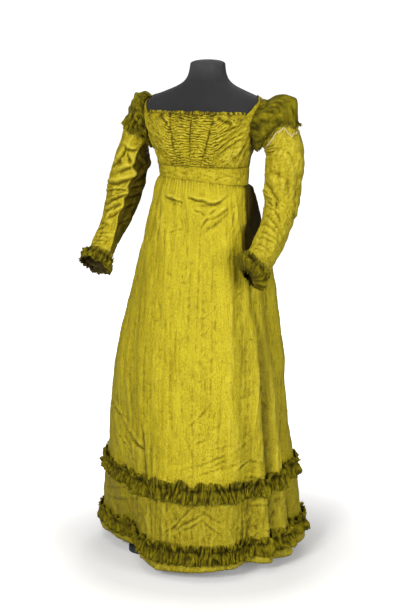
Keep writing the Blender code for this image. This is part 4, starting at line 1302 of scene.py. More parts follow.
skirtPresses = (
    # angle, height, to angle, to height, spread, rise: long straight fold edges, crisp at the crest
    (43, 1.01, 31, 0.33, 0.034, 0.0085), (75, 0.86, 53, 0.42, 0.024, 0.0095),
    (-44, 0.96, -27, 0.43, 0.018, 0.003), (-33, 0.99, -15, 0.5, 0.02, 0.0024),
    (6, 0.94, 4, 0.56, 0.024, 0.0013), (22, 0.96, 17, 0.6, 0.018, 0.0013),
    (92, 0.9, 96, 0.36, 0.024, 0.005), (112, 0.56, 112, 0.36, 0.04, -0.008),
    (-78, 0.92, -82, 0.42, 0.026, 0.004), (-104, 0.98, -108, 0.3, 0.026, 0.005),
)


def skirtScale(height):
    return 0.0022 + (1.13 - height) * 0.0026  # metres to a degree round the skirt


def onSkirt(marks):
    return [(a * skirtScale(b), b, c * skirtScale(d), d, *others) for a, b, c, d, *others in marks]


scattered = {
    "count": 80, "seed": 11, "angles": (-120, 240), "heights": (0.12, 1.03),
    "lean": (6, 22), "rise": (0.01, 0.07),
    "width": (0.0025, 0.0045), "depth": (0.0003, 0.001), "bend": (-0.004, 0.004),
}


def scatteredCreases():
    # small soft creases between the main ones, the same on every run
    rng = random.Random(scattered["seed"])
    found = []
    for k in range(scattered["count"]):
        angle, height = rng.uniform(*scattered["angles"]), rng.uniform(*scattered["heights"])
        lean = rng.choice((-1, 1)) * rng.uniform(*scattered["lean"])
        further = height + copysign(rng.uniform(*scattered["rise"]), lean)
        found.append((angle, height, angle + abs(lean), further, rng.uniform(*scattered["width"]),
                      rng.uniform(*scattered["depth"]), rng.uniform(*scattered["bend"])))
    return found


def asWorn(mark):
    # narrower than listed, and deeper near the hem and low on the gown's right
    angle, height, toAngle, toHeight, width, rise, bend = mark
    depth = 1.4 if height < 0.25 else 1.15 if angle < -18 and height < 0.5 else 0.85
    return angle, height, toAngle, toHeight, width * 0.8, rise * depth, bend


creaseMarks = onSkirt([asWorn(mark) for mark in bent(skirtCreases)] + scatteredCreases())
pressMarks = onSkirt(skirtPresses)
creaseBands = {}


def marksNear(height):
    band = int(height * 25)
    if band not in creaseBands:
        low, high = band / 25 - 0.05, (band + 1) / 25 + 0.05
        creaseBands[band] = (
            [m for m in creaseMarks if min(m[1], m[3]) < high and max(m[1], m[3]) > low],
            [m for m in pressMarks
             if min(m[1], m[3]) - 0.1 < high and max(m[1], m[3]) + 0.1 > low])
    return creaseBands[band]


def pressed(x, y, marks):
    total = 0.0
    for ax, ay, bx, by, spread, rise in marks:
        dx, dy = bx - ax, by - ay
        long = hypot(dx, dy)
        along = ((x - ax) * dx + (y - ay) * dy) / long ** 2
        if -0.15 < along < 1.15:
            off = ((x - ax) * dy - (y - ay) * dx) / long
            off += 0.004 * sin(9 * along + ax * 40)
            fade = rise * ease((along + 0.15) / 0.3) * ease((1.15 - along) / 0.3)
            total += fade * exp(-abs(off) / spread)
    return total


def backFlutes(angle, height):
    room = 360.0 - 2 * skirtShape["backSeam"]
    along = (angle % 360.0 - skirtShape["backSeam"]) / room
    if along <= 0 or along >= 1:
        return 0.0
    fall = clamp((skirtShape["fluteTop"] - height) / (skirtShape["fluteTop"] - skirtShape["hem"]))
    size = mix(skirtShape["fluteAtBand"], skirtShape["fluteAtHem"], fall)
    uneven = 1.0 + 0.25 * sin(5.1 * along * pi + 0.7)
    fade = min(1.0, 6 * along, 6 * (1 - along))
    along += 0.012 * sin(4.6 * pi * along + 0.4) * min(1.0, 5 * along, 5 * (1 - along))
    return size * uneven * fade * (0.35 - cos(2 * pi * skirtShape["flutes"] * along))


bandGathers = {
    # everywhere, more at the gown's right front, more at the back
    "depth": (0.0009, 0.0021, 0.0022), "length": (0.018, 0.022, 0.045),
    "rightAngle": -28, "rightSpread": 17, "backFrom": 70, "backOver": 40,
    "broad": 0.0022, "broadLength": 0.09, "lowest": 0.2,
}


def gathers(angle, height):
    # little tucks where the skirt is drawn into the band, deepest at the back
    shape = bandGathers
    below = bandBottom(around(angle)) - height
    if below > shape["lowest"]:
        return 0.0
    back = ease((abs(around(angle)) - shape["backFrom"]) / shape["backOver"])
    right = bump(angle, shape["rightAngle"], shape["rightSpread"])
    size, long = (first + second * right + third * back
                  for first, second, third in (shape["depth"], shape["length"]))
    warp = 2.2 * rough(angle, height * 120, 11.0, 4.0)
    fine = sin(angle * 1.35 + warp) + 0.6 * sin(angle * 2.9 + 1.7 * warp + 1.0)
    broad = (sin(angle * 0.62 + warp * 0.6) * back * shape["broad"]
             * exp(-below / shape["broadLength"]))
    start = ease(below / 0.004) * 0.8 + 0.2
    size *= clamp(0.75 + 1.9 * rough(angle, 0, 6.5, 17.0), 0.12, 1.6)
    return size * fine * start * exp(-below / long) + broad * start


def skirtReach(angle, height):
    side = (skirtLeft if around(angle) > 0 else skirtRight)(height)
    reach = oval(around(angle), side, skirtFront(height), skirtBack(height),
                 skirtShape["squareness"])
    for middle, spread, depth, top, curve in skirtShape["folds"]:
        if height < top:
            grown = ((top - height) / (top - skirtShape["hem"])) ** curve
            reach += depth * grown * bump(angle, middle, spread)
    corner = bump(abs(around(angle)), skirtShape["corner"], skirtShape["cornerSpread"])
    return reach + skirtCorner(height) * corner + backFlutes(angle, height)


skirtSurface = {
    "creaseStray": 0.0028, "straySize": 0.024,
    "streaks": ((0.0022, 0.017, 91.0), (0.0012, 0.008, 93.0)),  # depth, size, seed
    "planes": (0.0085, 0.25, 1.0, 0.075),  # depth, stretch, seed, size
    "wrinkles": ((0.0046, 0.45, 7.0, 0.032), (0.002, 0.8, 4.0, 0.012)),
    "hemWear": 0.9, "hemFrom": 0.27, "hemOver": 0.05,  # more wrinkles near the hem
    "underBand": (0.05, 0.012),  # at the front, at the back
}


def skirtPoint(angle, height, outward=0.0):
    # the finished outside of the skirt, creases and all
    shape, turned = skirtSurface, around(angle)
    part = clamp((skirtShape["turnTop"] - height)
                 / (skirtShape["turnTop"] - skirtShape["turnFull"]))
    creases, presses = marksNear(height)
    reach = skirtReach(angle, height) + gathers(angle, height)
    below = bandBottom(turned) - height
    settle = ease(below / 0.03)
    full = angle if angle < 240 else angle - 360
    for turn in ((full, full + 360) if full < -100 else (full,)):
        x = turn * skirtScale(height)
        uneven = 0.85 + 0.8 * rough(x, height, 0.028, 41.0)
        spot = strayed(x, height, shape["creaseStray"], shape["straySize"], 31.0)
        reach += settle * uneven * strokes(*spot, creases)
        reach += settle * pressed(x, height, presses)
    x = turned * skirtScale(height)
    worn = settle * (1 + shape["hemWear"] * ease((shape["hemFrom"] - height) / shape["hemOver"]))
    reach += settle * sum(depth * rough(x, height * 0.05, size, seed)
                          for depth, size, seed in shape["streaks"])
    for strength, (depth, stretch, seed, size) in zip((settle, worn, worn),
                                                      (shape["planes"], *shape["wrinkles"])):
        reach += strength * depth * crumple(Vector((x, height * stretch, seed)), size)
    span = mix(*shape["underBand"], ease((abs(turned) - 55) / 15))
    if below < span:  # drawn in under the band, with no ledge
        tight = overForm(turned, bandBottom(turned), clothWall - 0.0004)
        held = hypot(tight.x, tight.y) + gathers(angle, height)
        reach = mix(held, reach, ease(below / span))
    return polar(angle + skirtShape["turn"] * part, reach + outward, height)


def hemHeight(angle):
    return skirtShape["hem"] + sum(rise * bump(angle, middle, spread)
                                   for middle, spread, rise in skirtShape["hemLifts"])


hemRoll = {"height": 0.021, "swell": 0.0042}
skirtPanels = {
    # first angle, last angle, columns, rows, flat width, flat length, flat area
    "silkSkirtFront": (-62, 62, 190, 232, 0.84, 1.14, 0.64, "skirt_front"),
    "silkSkirtSideLeft": (62, 120, 80, 156, 0.36, 1.14, 0.27, "skirt_side_left"),
    "silkSkirtBack": (120, 240, 144, 120, 1.1, 1.16, 0.96, "skirt_back"),
    "silkSkirtSideRight": (240, 298, 80, 156, 0.42, 1.15, 0.33, "skirt_side_right"),
}


skirtFoldShades = (
    # angle along the height, spread, depth of painted shade, lowest, highest: beside the long folds
    (((0.9, -58.0), (1.05, -54.5), (1.13, -49.5)), 2.2, 0.34, 0.9, 1.19),
    (((0.34, -33.0), (0.38, -46.0), (0.47, -84.0)), 4.5, 0.32, 0.33, 0.52),
    (((0.38, -43.0), (0.5, -43.5), (0.61, -44.5), (0.78, -53.0), (0.95, -60.0)),
     4.2, 0.25, 0.24, 0.98),
    (((0.05, -27.5), (0.18, -30.5), (0.3, -33.5), (0.39, -35.0)), 3.2, 0.42, 0.02, 0.44),
    (((0.1, 68.0), (0.435, 72.0), (0.638, 77.0), (0.777, 86.0)), 4.0, 0.4, 0.12, 0.84),
    (((0.1, 44.0), (0.38, 46.0), (0.6, 50.0), (0.95, 60.0)), 8.0, 0.14, 0.1, 1.0),
    (((0.1, 112.0), (0.8, 116.0)), 6.0, 0.25, 0.05, 0.9),
    (((0.1, -76.0), (0.9, -78.0)), 5.0, 0.14, 0.25, 0.95),
)
foldShadeLines = [(curveOf(path, 1), *others) for path, *others in skirtFoldShades]
skirtShade = {
    # painted shadow behind the gown's left arm, from an angle that leans with the height; painted
    # shade in the tucks under the band; darker towards the hem
    "arm": 0.97, "armFrom": 66, "armLean": 55, "armLeanAt": 0.93, "armTo": 146, "armLow": 0.78,
    "tucks": 0.6, "hem": 0.3, "hemTop": 0.26,
}


def makeSkirtPanel(name):
    first, last, columns, rows, width, long, area, node = skirtPanels[name]

    def place(across, up):
        turned = around(mix(first, last, across))
        top, low = bandBottom(turned) - seamGap * 2, hemHeight(turned)
        part = 1 - up
        height = mix(top, low, part - 0.05 * sin(2 * pi * part))
        edge = min(across, 1 - across) * width * 0.8
        pinch = 0.0009 * exp(-(edge / 0.0024) ** 2) * ease(part * 20)
        roll = (height - low) / hemRoll["height"]
        swell = hemRoll["swell"] * sin(pi * clamp(roll)) ** 0.7 if roll < 1 else 0.0
        point = skirtPoint(turned, height, swell - pinch)
        if edge == 0:
            along = Vector((-point.y, point.x, 0.0)).normalized() * seamGap / 2
            point += along if across == 0 else -along
        return point

    def paintedShade(across, up):
        # painted shadow behind the gown's left arm, painted shade in the tucks under the band and
        # beside the long folds; darker towards the hem
        shade = skirtShade
        angle = around(mix(first, last, across))
        height = mix(hemHeight(angle), bandBottom(angle), up + 0.05 * sin(2 * pi * (1 - up)))
        below = bandBottom(angle) - height
        tucks = shade["tucks"] * exp(-below / 0.007)
        tucks *= clamp(0.35 + 1.6 * rough(angle, 0, 2.4, 51.0))
        start = shade["armFrom"] + shade["armLean"] * (height - shade["armLeanAt"])
        arm = (shade["arm"] * ease((angle - start) / 5) * ease((shade["armTo"] - angle) / 38)
               * ease((height - shade["armLow"]) / 0.14))
        deepest = max(depth * bump(angle, middle(height), spread) * ease((height - low) / 0.1)
                      * ease((high - height) / 0.12)
                      for middle, spread, depth, low, high in foldShadeLines)
        return max(arm, deepest, tucks, shade["hem"] * ease((shade["hemTop"] - height) / 0.02))

    shape = {"columns": columns, "rows": rows, "flat": (width, long)}
    piece = clothPiece(name, shape, place, silk, [node], paintedShade=paintedShade)
    return piece


for panelName in skirtPanels:
    makeSkirtPanel(panelName)
print("skirt made")


# gauze trims
rufflePiece = {
    "pleats": 96, "columns": 1296, "rows": 11,
    "above": 0.019, "below": 0.036, "tooth": 0.0024,
    "lengthAround": 2.1, "fullness": 1.36,
    "stand": 0.0026, "lift": 0.0075, "waveDepth": (0.008, 0.015), "drop": 0.004,
    "uneven": (0.24, 0.8), "finelyUneven": (0.14, 0.45),  # below and above the stitching
    "wander": 0.0035, "shade": 0.9,
    "looseEnds": 2200, "longestEnd": 0.0065,
}
ruffleStitch = {
    # height of the stitching, node, seed
    "gauzeHemUpper": (0.266, "hem_ruffle_upper", 3.0),
    "gauzeHemLower": (0.091, "hem_ruffle_lower", 8.0),
}
frayLook = {"shortest": 0.002, "width": (0.00025, 0.0005), "tip": 0.35, "slant": 0.8}


def pleatShape(phase):
    # a knife pleat: quick rise, slow fall, 0 in the valley and 1 on the crest
    part = phase % 1.0
    return 0.5 - 0.5 * cos(2 * pi * part ** 0.72)


def ruffleWave(turns, rise, seed):
    # uneven clumps with gaps between them, and small wandering folds on each
    lean = 2.1 * rise / rufflePiece["below"] * loopRough(turns, 74, 0.0, seed + 13)
    phase = turns * rufflePiece["pleats"] + lean
    turns += lean / rufflePiece["pleats"]
    warped = phase + 1.2 * loopRough(turns, 50, 0.0, seed)
    warped += 0.5 * loopRough(turns, 130, rise * 12, seed + 3)
    broad = pleatShape(warped)
    fine = 1 - 2.6 * abs(loopRough(turns, 230, rise * 34, seed + 7))
    uneven = 0.8 + 1.1 * loopRough(turns, 80, rise * 30, seed + 5)
    return clamp((0.7 * broad + 0.3 * fine) * uneven, 0.0, 1.15)


def toothEdge(column):
    # zigzag of a pinked edge
    return abs((column / 5.0) % 1.0 - 0.5) * 2


def addFray(name, seed, count, longest, oneEnd):
    # loose thread ends along cut edges: slim tapering slivers
    rng = random.Random(seed)
    bm = bmesh.new()
    for k in range(count):
        root, way, along = oneEnd(rng)
        tip = root + way.normalized() * rng.uniform(frayLook["shortest"], longest)
        wide = along * rng.uniform(*frayLook["width"])
        corners = (root - wide, root + wide,
                   tip + wide * frayLook["tip"], tip - wide * frayLook["tip"])
        bm.faces.new([bm.verts.new(point) for point in corners])
    return finishPiece(name, bm, threadEnds, [], smooth=False)


def makeHemRuffle(name):
    stitch, node, seed = ruffleStitch[name]
    shape, columns = rufflePiece, rufflePiece["columns"]
    above, below = shape["above"], shape["below"]

    def place(across, up):
        angle = across * 360 - 180
        rise = mix(-below, above, up)
        upper = rise >= 0
        fromStitch = abs(rise) / (above if upper else below)
        wave = ruffleWave(across, rise, seed)
        lift = clamp(0.5 + 1.2 * loopRough(across, 66, 0.0, seed + 9))
        stand = shape["stand"] + shape["lift"] * lift * fromStitch ** 0.7
        deep = mix(*shape["waveDepth"], fromStitch ** 0.8)
        ragged = (rise > 0)
        long = 1.0 + shape["uneven"][upper] * loopRough(across, 105, 0.0, seed + 2 + ragged)
        long += shape["finelyUneven"][upper] * loopRough(across, 260, 0.0, seed + 22 + ragged)
        height = stitch + rise * clamp(long, 0.4, 1.45)
        height -= shape["drop"] * wave * copysign(fromStitch, rise)
        height += shape["wander"] * loopRough(across, 130, 0.0, seed + 15)
        if up in (0.0, 1.0):
            height += copysign(shape["tooth"] * toothEdge(across * columns), rise)
        fan = 1.6 * loopRough(across, 40, 0.0, seed + 4)
        fan += 1.0 * loopRough(across, 120, 0.0, seed + 8)
        angle += fan * fromStitch ** 1.3 * (-0.6 if upper else 1)
        return skirtPoint(around(angle), height, stand + deep * wave + 0.0012)

    def paintedShade(across, up):
        # painted shade in uneven pockets just above the stitching, under the curled heading
        rise = mix(-below, above, up)
        pocket = clamp(0.2 + 1.8 * loopRough(across, 120, rise * 40, seed + 21))
        return shape["shade"] * pocket * exp(-((rise - 0.003) / 0.011) ** 2)

    def looseEnd(rng):
        across = rng.random()
        upper = rng.random() < 0.5
        root = place(across, 0.999 if upper else 0.001)
        out = Vector((root.x, root.y, 0.0)).normalized()
        along = Vector((-out.y, out.x, 0.0))
        way = Vector((0, 0, 1 if upper else -1)) + out * rng.uniform(0.0, 0.9)
        way += along * rng.uniform(-frayLook["slant"], frayLook["slant"])
        return root, way, along

    flat = (shape["lengthAround"] * shape["fullness"], above + below)
    piece = clothPiece(name, dict(shape, flat=flat), place, gauze, [node], closed=True,
                       wall=gauzeWall, paintedShade=paintedShade)
    fray = addFray(name + "Fray", int(seed), shape["looseEnds"], shape["longestEnd"], looseEnd)
    return piece


for ruffleName in ruffleStitch:
    makeHemRuffle(ruffleName)
print("hem ruffles made")


# sleeves
leftSleeve = (
    # under out, under z, outer out, outer z, y, half depth
    (0.16, 1.218, 0.206, 1.338, 0.007, 0.0545), (0.167, 1.215, 0.242, 1.323, 0.012, 0.055),
    (0.173, 1.21, 0.266, 1.277, 0.018, 0.055), (0.178, 1.193, 0.283, 1.225, 0.023, 0.055),
    (0.178, 1.16, 0.287, 1.175, 0.025, 0.054), (0.172, 1.117, 0.281, 1.124, 0.03, 0.053),
    (0.17, 1.081, 0.274, 1.073, 0.03, 0.052), (0.176, 1.048, 0.267, 1.027, 0.019, 0.05),
    (0.178, 1.012, 0.26, 0.985, -0.016, 0.046), (0.175, 0.974, 0.252, 0.94, -0.06, 0.043),
    (0.169, 0.941, 0.239, 0.902, -0.099, 0.04), (0.16, 0.917, 0.221, 0.869, -0.127, 0.038),
)
rightSleeve = (
    (0.16, 1.218, 0.201, 1.338, -0.003, 0.0545), (0.165, 1.215, 0.215, 1.321, -0.007, 0.055),
    (0.168, 1.21, 0.23, 1.281, -0.012, 0.055), (0.17, 1.193, 0.247, 1.238, -0.015, 0.055),
    (0.164, 1.157, 0.271, 1.176, -0.014, 0.054), (0.18, 1.11, 0.291, 1.117, -0.011, 0.053),
    (0.191, 1.073, 0.295, 1.075, -0.01, 0.051), (0.205, 1.037, 0.3, 1.034, -0.017, 0.049),
    (0.219, 0.99, 0.304, 0.991, -0.045, 0.0445), (0.23, 0.948, 0.309, 0.95, -0.076, 0.041),
    (0.24, 0.91, 0.315, 0.917, -0.108, 0.0385), (0.249, 0.878, 0.32, 0.893, -0.133, 0.037),
)
sleeveScale = {"turn": 0.00088, "ring": 0.042}
rightSleeveFolds = (
    # turn, ring, to turn, to ring, width, rise, bend: turn 0 faces front, 90 the body
    (304, 5.25, 344, 4.05, 0.0055, 0.0062, 0.006),  # arched fold on the upper arm
    (342, 4.05, 402, 3.8, 0.0055, 0.0064, 0.004), (12, 4.3, 32, 5.05, 0.006, 0.006),
    (318, 4.75, 352, 4.95, 0.0045, 0.003),
    (302, 6.2, 404, 5.48, 0.007, 0.0085, 0.004),  # tongue over the crook
    (340, 5.35, 390, 4.95, 0.005, 0.005), (292, 6.6, 346, 6.35, 0.0045, 0.003),
    (296, 7.0, 390, 6.7, 0.0045, 0.004, -0.01), (306, 8.0, 392, 6.95, 0.006, 0.0072, 0.004),
    (322, 7.35, 372, 7.3, 0.004, 0.0026), (318, 8.55, 386, 8.0, 0.005, 0.0045),
    (338, 9.1, 390, 8.42, 0.0055, 0.0062), (326, 9.35, 372, 9.5, 0.004, 0.0024),
    (300, 9.75, 350, 9.6, 0.0036, 0.0018), (310, 10.05, 396, 10.0, 0.003, 0.0016, 0.001),
    (304, 10.3, 388, 10.36, 0.0028, 0.0015, 0.001), (316, 10.6, 390, 10.62, 0.0028, 0.0014, 0.001),
    (300, 10.88, 372, 10.9, 0.0026, 0.0014, 0.001),
    (310, 11.12, 392, 11.16, 0.0026, 0.0013, 0.001),
    (300, 11.38, 380, 11.36, 0.0026, 0.0012, 0.001), (44, 4.45, 100, 5.1, 0.006, 0.005, 0.003),
    (50, 5.9, 104, 5.25, 0.006, 0.005), (40, 6.5, 100, 6.2, 0.0055, 0.0046),
    (36, 7.4, 96, 6.9, 0.006, 0.005), (36, 8.3, 92, 7.7, 0.0055, 0.0044),
    (44, 9.2, 100, 8.6, 0.005, 0.0036), (180, 4.9, 258, 5.5, 0.0065, 0.004, 0.004),
    (150, 5.9, 230, 5.6, 0.006, 0.004), (190, 6.9, 262, 6.3, 0.0065, 0.0042),
    (170, 7.6, 246, 8.1, 0.006, 0.0036), (200, 9.2, 270, 9.0, 0.0045, 0.0024),
    (120, 10.1, 220, 10.2, 0.0035, 0.0016),
)
rightInnerEdge = (
    # ring, turn where the sleeve folds back on its inner side, depth
    (2.6, 66, 0.0), (3.4, 54, 0.5), (4.0, 42, 0.9), (4.4, 33, 1.0), (4.8, 27, 1.0),
    (5.2, 24, 1.0), (5.55, 43, 1.0), (6.0, 30, 1.0), (6.5, 25, 1.0), (7.15, 31, 1.0),
    (7.7, 22, 1.0), (8.4, 31, 1.0), (8.9, 25, 1.0), (9.6, 39, 1.0), (10.2, 45, 0.9),
    (11.0, 54, 0.7), (12.0, 60, 0.5),
)
leftInnerEdge = ((0.0, 80, 0.0), (2.0, 80, 0.0), (3.0, 74, 0.35), (5.0, 82, 0.15),
                 (7.0, 78, 0.2), (12.0, 80, 0.1))
leftSleeveFolds = (
    (64, 2.95, 16, 3.35, 0.0045, 0.004),  # drawn in at the armpit
    (66, 3.3, 10, 3.75, 0.0045, 0.0042, 0.002), (64, 3.75, 350, 3.85, 0.005, 0.0036, -0.006),
    (70, 4.2, 20, 4.1, 0.005, 0.003),
    (62, 6.15, 6, 7.95, 0.0075, 0.0066, 0.006),  # the crook of the elbow
    (70, 6.55, 24, 7.3, 0.005, 0.0044), (16, 7.7, 6, 8.5, 0.005, 0.0046),
    (48, 8.1, 10, 8.6, 0.005, 0.0036), (44, 5.55, 338, 6.15, 0.008, 0.0026, 0.004),
    (346, 4.0, 328, 5.1, 0.006, 0.0022), (20, 4.6, 12, 6.2, 0.007, 0.0022),
    (348, 5.2, 336, 7.4, 0.008, 0.0024), (318, 5.6, 304, 7.8, 0.008, 0.0022),
    (46, 8.6, 330, 9.25, 0.005, 0.003, 0.004), (40, 9.2, 336, 9.6, 0.004, 0.0024),
    (44, 9.75, 322, 9.95, 0.0036, 0.002, 0.002), (34, 10.2, 316, 10.15, 0.0034, 0.0018),
    (40, 10.55, 312, 10.45, 0.0032, 0.0018, 0.002), (36, 10.95, 320, 10.9, 0.003, 0.0016),
    (48, 11.25, 316, 11.25, 0.0028, 0.0014), (120, 6.1, 180, 6.6, 0.0065, 0.004),
    (110, 7.2, 190, 7.5, 0.0065, 0.004), (200, 5.4, 270, 5.9, 0.007, 0.0034),
    (210, 8.2, 280, 7.8, 0.0065, 0.0034), (170, 9.1, 240, 9.4, 0.005, 0.0024),
)


sleeveShape = {
    "last": 12.0,  # number of the ring at the wrist
    "foldStrength": 1.4, "stray": 0.0034, "straySize": 0.022,
    "insideWidth": 84, "flatness": 0.75, "edgeRise": 0.0024, "edgeHalf": 5.0,
    "insideShade": 0.86,
    "dents": {1: ((0.007, 0.052), (0.005, 0.02), (0.0018, 0.009)),
              -1: ((0.011, 0.052), (0.005, 0.02), (0.0018, 0.009))},  # height, size
}


def sleeveForm(side, rows, folds, innerEdge):
    # a smooth tube down from the armhole, with its folds; its surface is read by turn and ring
    middles = [Vector(((row[0] + row[2]) / 2, row[4], (row[1] + row[3]) / 2)) for row in rows]
    frames = []
    for k, row in enumerate(rows):
        along = (middles[min(k + 1, len(rows) - 1)] - middles[max(k - 1, 0)]).normalized()
        across = Vector(((row[0] - row[2]) / 2, 0.0, (row[1] - row[3]) / 2))
        front = Vector((0.0, -1.0, 0.0))
        front = (front - along * front.dot(along)).normalized()
        frames.append((middles[k], across, front * row[5]))
    centres = [overForm(armholeShape["angle"], armholeShape["height"])] + middles
    edgeTurn, edgeDepth = curvesOf(innerEdge)
    lines = {}
    marks = [(a * sleeveScale["turn"], -b * sleeveScale["ring"],
              (c if abs(c - a) < 180 else c - 360) * sleeveScale["turn"], -d * sleeveScale["ring"],
              width, rise * sleeveShape["foldStrength"], bend)
             for a, b, c, d, width, rise, bend in bent(folds)]

    def lineAt(turn):
        if turn not in lines:
            t = radians(turn)
            start = overForm(*armhole(turn, -0.0006), clothWall * 0.4)
            lines[turn] = [start] + [middle + across * sin(t) + front * cos(t)
                                     for middle, across, front in frames]
        return lines[turn]

    def between(points, ring):
        last = len(points) - 1
        if ring >= last:
            return points[last] + (points[last] - points[last - 1]) * (ring - last)
        low = int(ring)
        slopes = []
        for k in (low, low + 1):
            before, after = max(k - 1, 0), min(k + 1, last)
            slopes.append((points[after] - points[before]) / (after - before))
        a, b, c, d = hermite(ring - low)
        return points[low] * a + slopes[0] * b + points[low + 1] * c + slopes[1] * d

    def pastEdge(turn, ring):
        return around(turn) - edgeTurn(ring)

    def surface(turn, ring, outward=0.0, creased=1.0):
        turn %= 360.0
        ring = max(ring, 0.0)
        base = between(lineAt(round(turn, 4)), ring)
        spoke = base - between(centres, ring)
        out = spoke.normalized()
        if creased:
            shape = sleeveShape
            x, y = turn * sleeveScale["turn"], -ring * sleeveScale["ring"]
            settle = ease((ring - 0.6) / 1.2) * ease((shape["last"] - ring) / 0.6)
            past, half = pastEdge(turn, ring), shape["insideWidth"] / 2
            flat = 0.0
            if 0 < past < 2 * half:  # the inner side lies flat behind its folded edge
                chord = cos(radians(half)) / cos(radians(past - half))
                flat = (chord - 1) * spoke.length
            ridge = shape["edgeRise"] * exp(-(past / shape["edgeHalf"]) ** 2)
            rise = edgeDepth(ring) * (shape["flatness"] * flat + ridge)
            spot = strayed(x, y, shape["stray"], shape["straySize"], 81.0 + side)
            rise += strokes(*spot, marks, wrap=360 * sleeveScale["turn"])
            t = radians(turn)
            spot = Vector((cos(t) * 0.05, sin(t) * 0.05, ring * 0.036 + side))
            rise += crumples(spot, shape["dents"][side])
            outward += rise * settle * creased
        point = base + out * outward
        return Vector((point.x * side, point.y, point.z))

    def paintedShade(turn, ring):
        # painted shade on the inner side, behind its folded edge, from the upper arm down
        past = pastEdge(turn, ring)
        inside = ease((past + 2) / 7) * ease((150 - past) / 50)
        return sleeveShape["insideShade"] * edgeDepth(ring) * inside * ease((ring - 2.2) / 1.0)

    return surface, paintedShade


sleevePiece = {
    "columns": 112, "rows": 160, "flat": (0.36, 0.5), "area": 0.15,
    "looks": {1: sleeveShadedSilk, -1: shadedSilk},
    "ringLength": 0.04, "wristTurning": 0.0008, "seam": 0.0005, "seamTurn": 100,
}


def makeSleeve(side, form, name, node):
    surface, shade = form
    last = sleeveShape["last"]

    def turnRing(across, up):
        return -side * 360 * across, last * (1 - up)

    def place(across, up):
        turn, ring = turnRing(across, up)
        fromWrist = (last - ring) * sleevePiece["ringLength"]
        edge = sleevePiece["wristTurning"] * exp(-(fromWrist / 0.004) ** 2)
        fromSeam = around(turn - sleevePiece["seamTurn"])
        pinch = sleevePiece["seam"] * exp(-(fromSeam / 2.0) ** 2) * ease((ring - 0.6) / 0.8)
        return surface(turn, ring, edge - pinch)

    def paintedShade(across, up):
        return shade(*turnRing(across, up))

    piece = clothPiece(name, sleevePiece, place, sleevePiece["looks"][side], [node],
                       closed=True, paintedShade=paintedShade, lining=lining)
    "silkSideFront" + sideName(side)
    return piece


puffPiece = {
    "columns": 240, "rows": 40, "flat": (0.62, 0.17), "top": -90.0, "topSpread": 48.0,
    "pleats": 16, "finer": 4, "fine": 1.0, "dented": 1.0, "armpitShade": 0.72,
    "finish": sheerGauze, "inside": None, "frayEdges": (0.0,),
    "knobAt": (-78, 0.14), "knobSpread": (22, 0.24),  # turn, ring
}
puffSides = {
    # what differs on each side: area and the knob at the top of the gathers
    1: {"area": 0.055, "knob": 0.002, "pleats": 9, "finer": 2.6, "fine": 0.35},
    -1: {"area": 0.042, "knob": 0.008},
}
leftPuff = (
    # part of the way down, stand-out, extra on the outer top, wave
    (0.0, 0.0022, 0.001, 0.001),
    (0.12, 0.005, 0.007, 0.002),
    (0.3, 0.0085, 0.012, 0.0035),
    (0.52, 0.0105, 0.016, 0.0045),
    (0.72, 0.0105, 0.014, 0.006),
    (0.86, 0.006, 0.004, 0.006),
    (0.93, 0.003, -0.003, 0.006),
    (1.0, 0.0065, -0.011, 0.0095),
)
leftPuffEnd = (
    # turn, ring where it ends
    (-180, 2.9), (-110, 3.1), (-78, 3.1), (-48, 2.65), (-24, 2.25), (-12, 2.1), (3, 2.0),
    (24, 1.85), (60, 1.9), (120, 2.2), (180, 2.9),
)
rightPuff = (
    (0.0, 0.0022, 0.002, 0.001),
    (0.12, 0.005, 0.013, 0.002),
    (0.28, 0.0065, 0.008, 0.003),
    (0.42, 0.008, 0.0, 0.004),
    (0.56, 0.01, -0.007, 0.005),
    (0.66, 0.004, -0.003, 0.004),
    (0.8, 0.003, 0.0, 0.0055),
    (1.0, 0.005, 0.0, 0.0075),
)
rightPuffEnd = (
    (-180, 2.8), (-90, 3.2), (-24, 3.25), (-3, 3.15), (21, 2.75), (33, 2.4), (45, 2.15),
    (90, 2.1), (180, 2.8),
)
cuffPiece = dict(puffPiece, columns=260, rows=24, flat=(0.6, 0.05), pleats=17, finer=2.4,
                 fine=1.5, armpitShade=0.0, finish=darkGauze, inside=lining, frayEdges=(0.0, 1.0),
                 knob=0.0)
cuffSides = {1: {"area": 0.024, "dented": 1.1}, -1: {"area": 0.018, "dented": 0.75}}
leftCuff = (
    # part, stand-out, extra, wave: the ruffle curls in over the wrist
    (0.0, 0.007, 0.0, 0.007),
    (0.18, 0.002, 0.0, 0.004),
    (0.45, 0.01, 0.0, 0.006),
    (0.68, 0.012, 0.0, 0.006),
    (0.84, 0.004, 0.0, 0.006),
    (1.0, -0.015, 0.0, 0.006),
)
rightCuff = (
    (0.0, 0.007, 0.0, 0.007),
    (0.25, 0.0015, 0.0, 0.004),
    (0.6, 0.0075, 0.0, 0.007),
    (1.0, 0.005, 0.0, 0.009),
)
overSleeve = {
    # sizes round the circle that the noise is read on, and heights of the dents
    "circle": 0.062, "ringLength": 0.03, "warp": 0.3, "wander": 1.4,
    "mainDent": (0.024, 0.036), "fineDents": ((0.009, 0.017), (0.003, 0.008)),
    "lapShare": 0.07, "lap": 0.006, "lapUneven": 0.003, "lapHeight": 0.0032, "lapWave": 0.0016,
    "tooth": 0.05, "ragged": 0.22,
    "looseEnds": 620, "longestEnd": 0.007,
}


def overSleeveWave(across, pleats, finer, seed):
    turn = across * 2 * pi
    spot = Vector((cos(turn) * 2, sin(turn) * 2, seed))
    warped = across * pleats + overSleeve["warp"] * noise.noise(spot)
    return clamp((0.82 * pleatShape(warped) + 0.18 * pleatShape(warped * finer)) * 0.9)


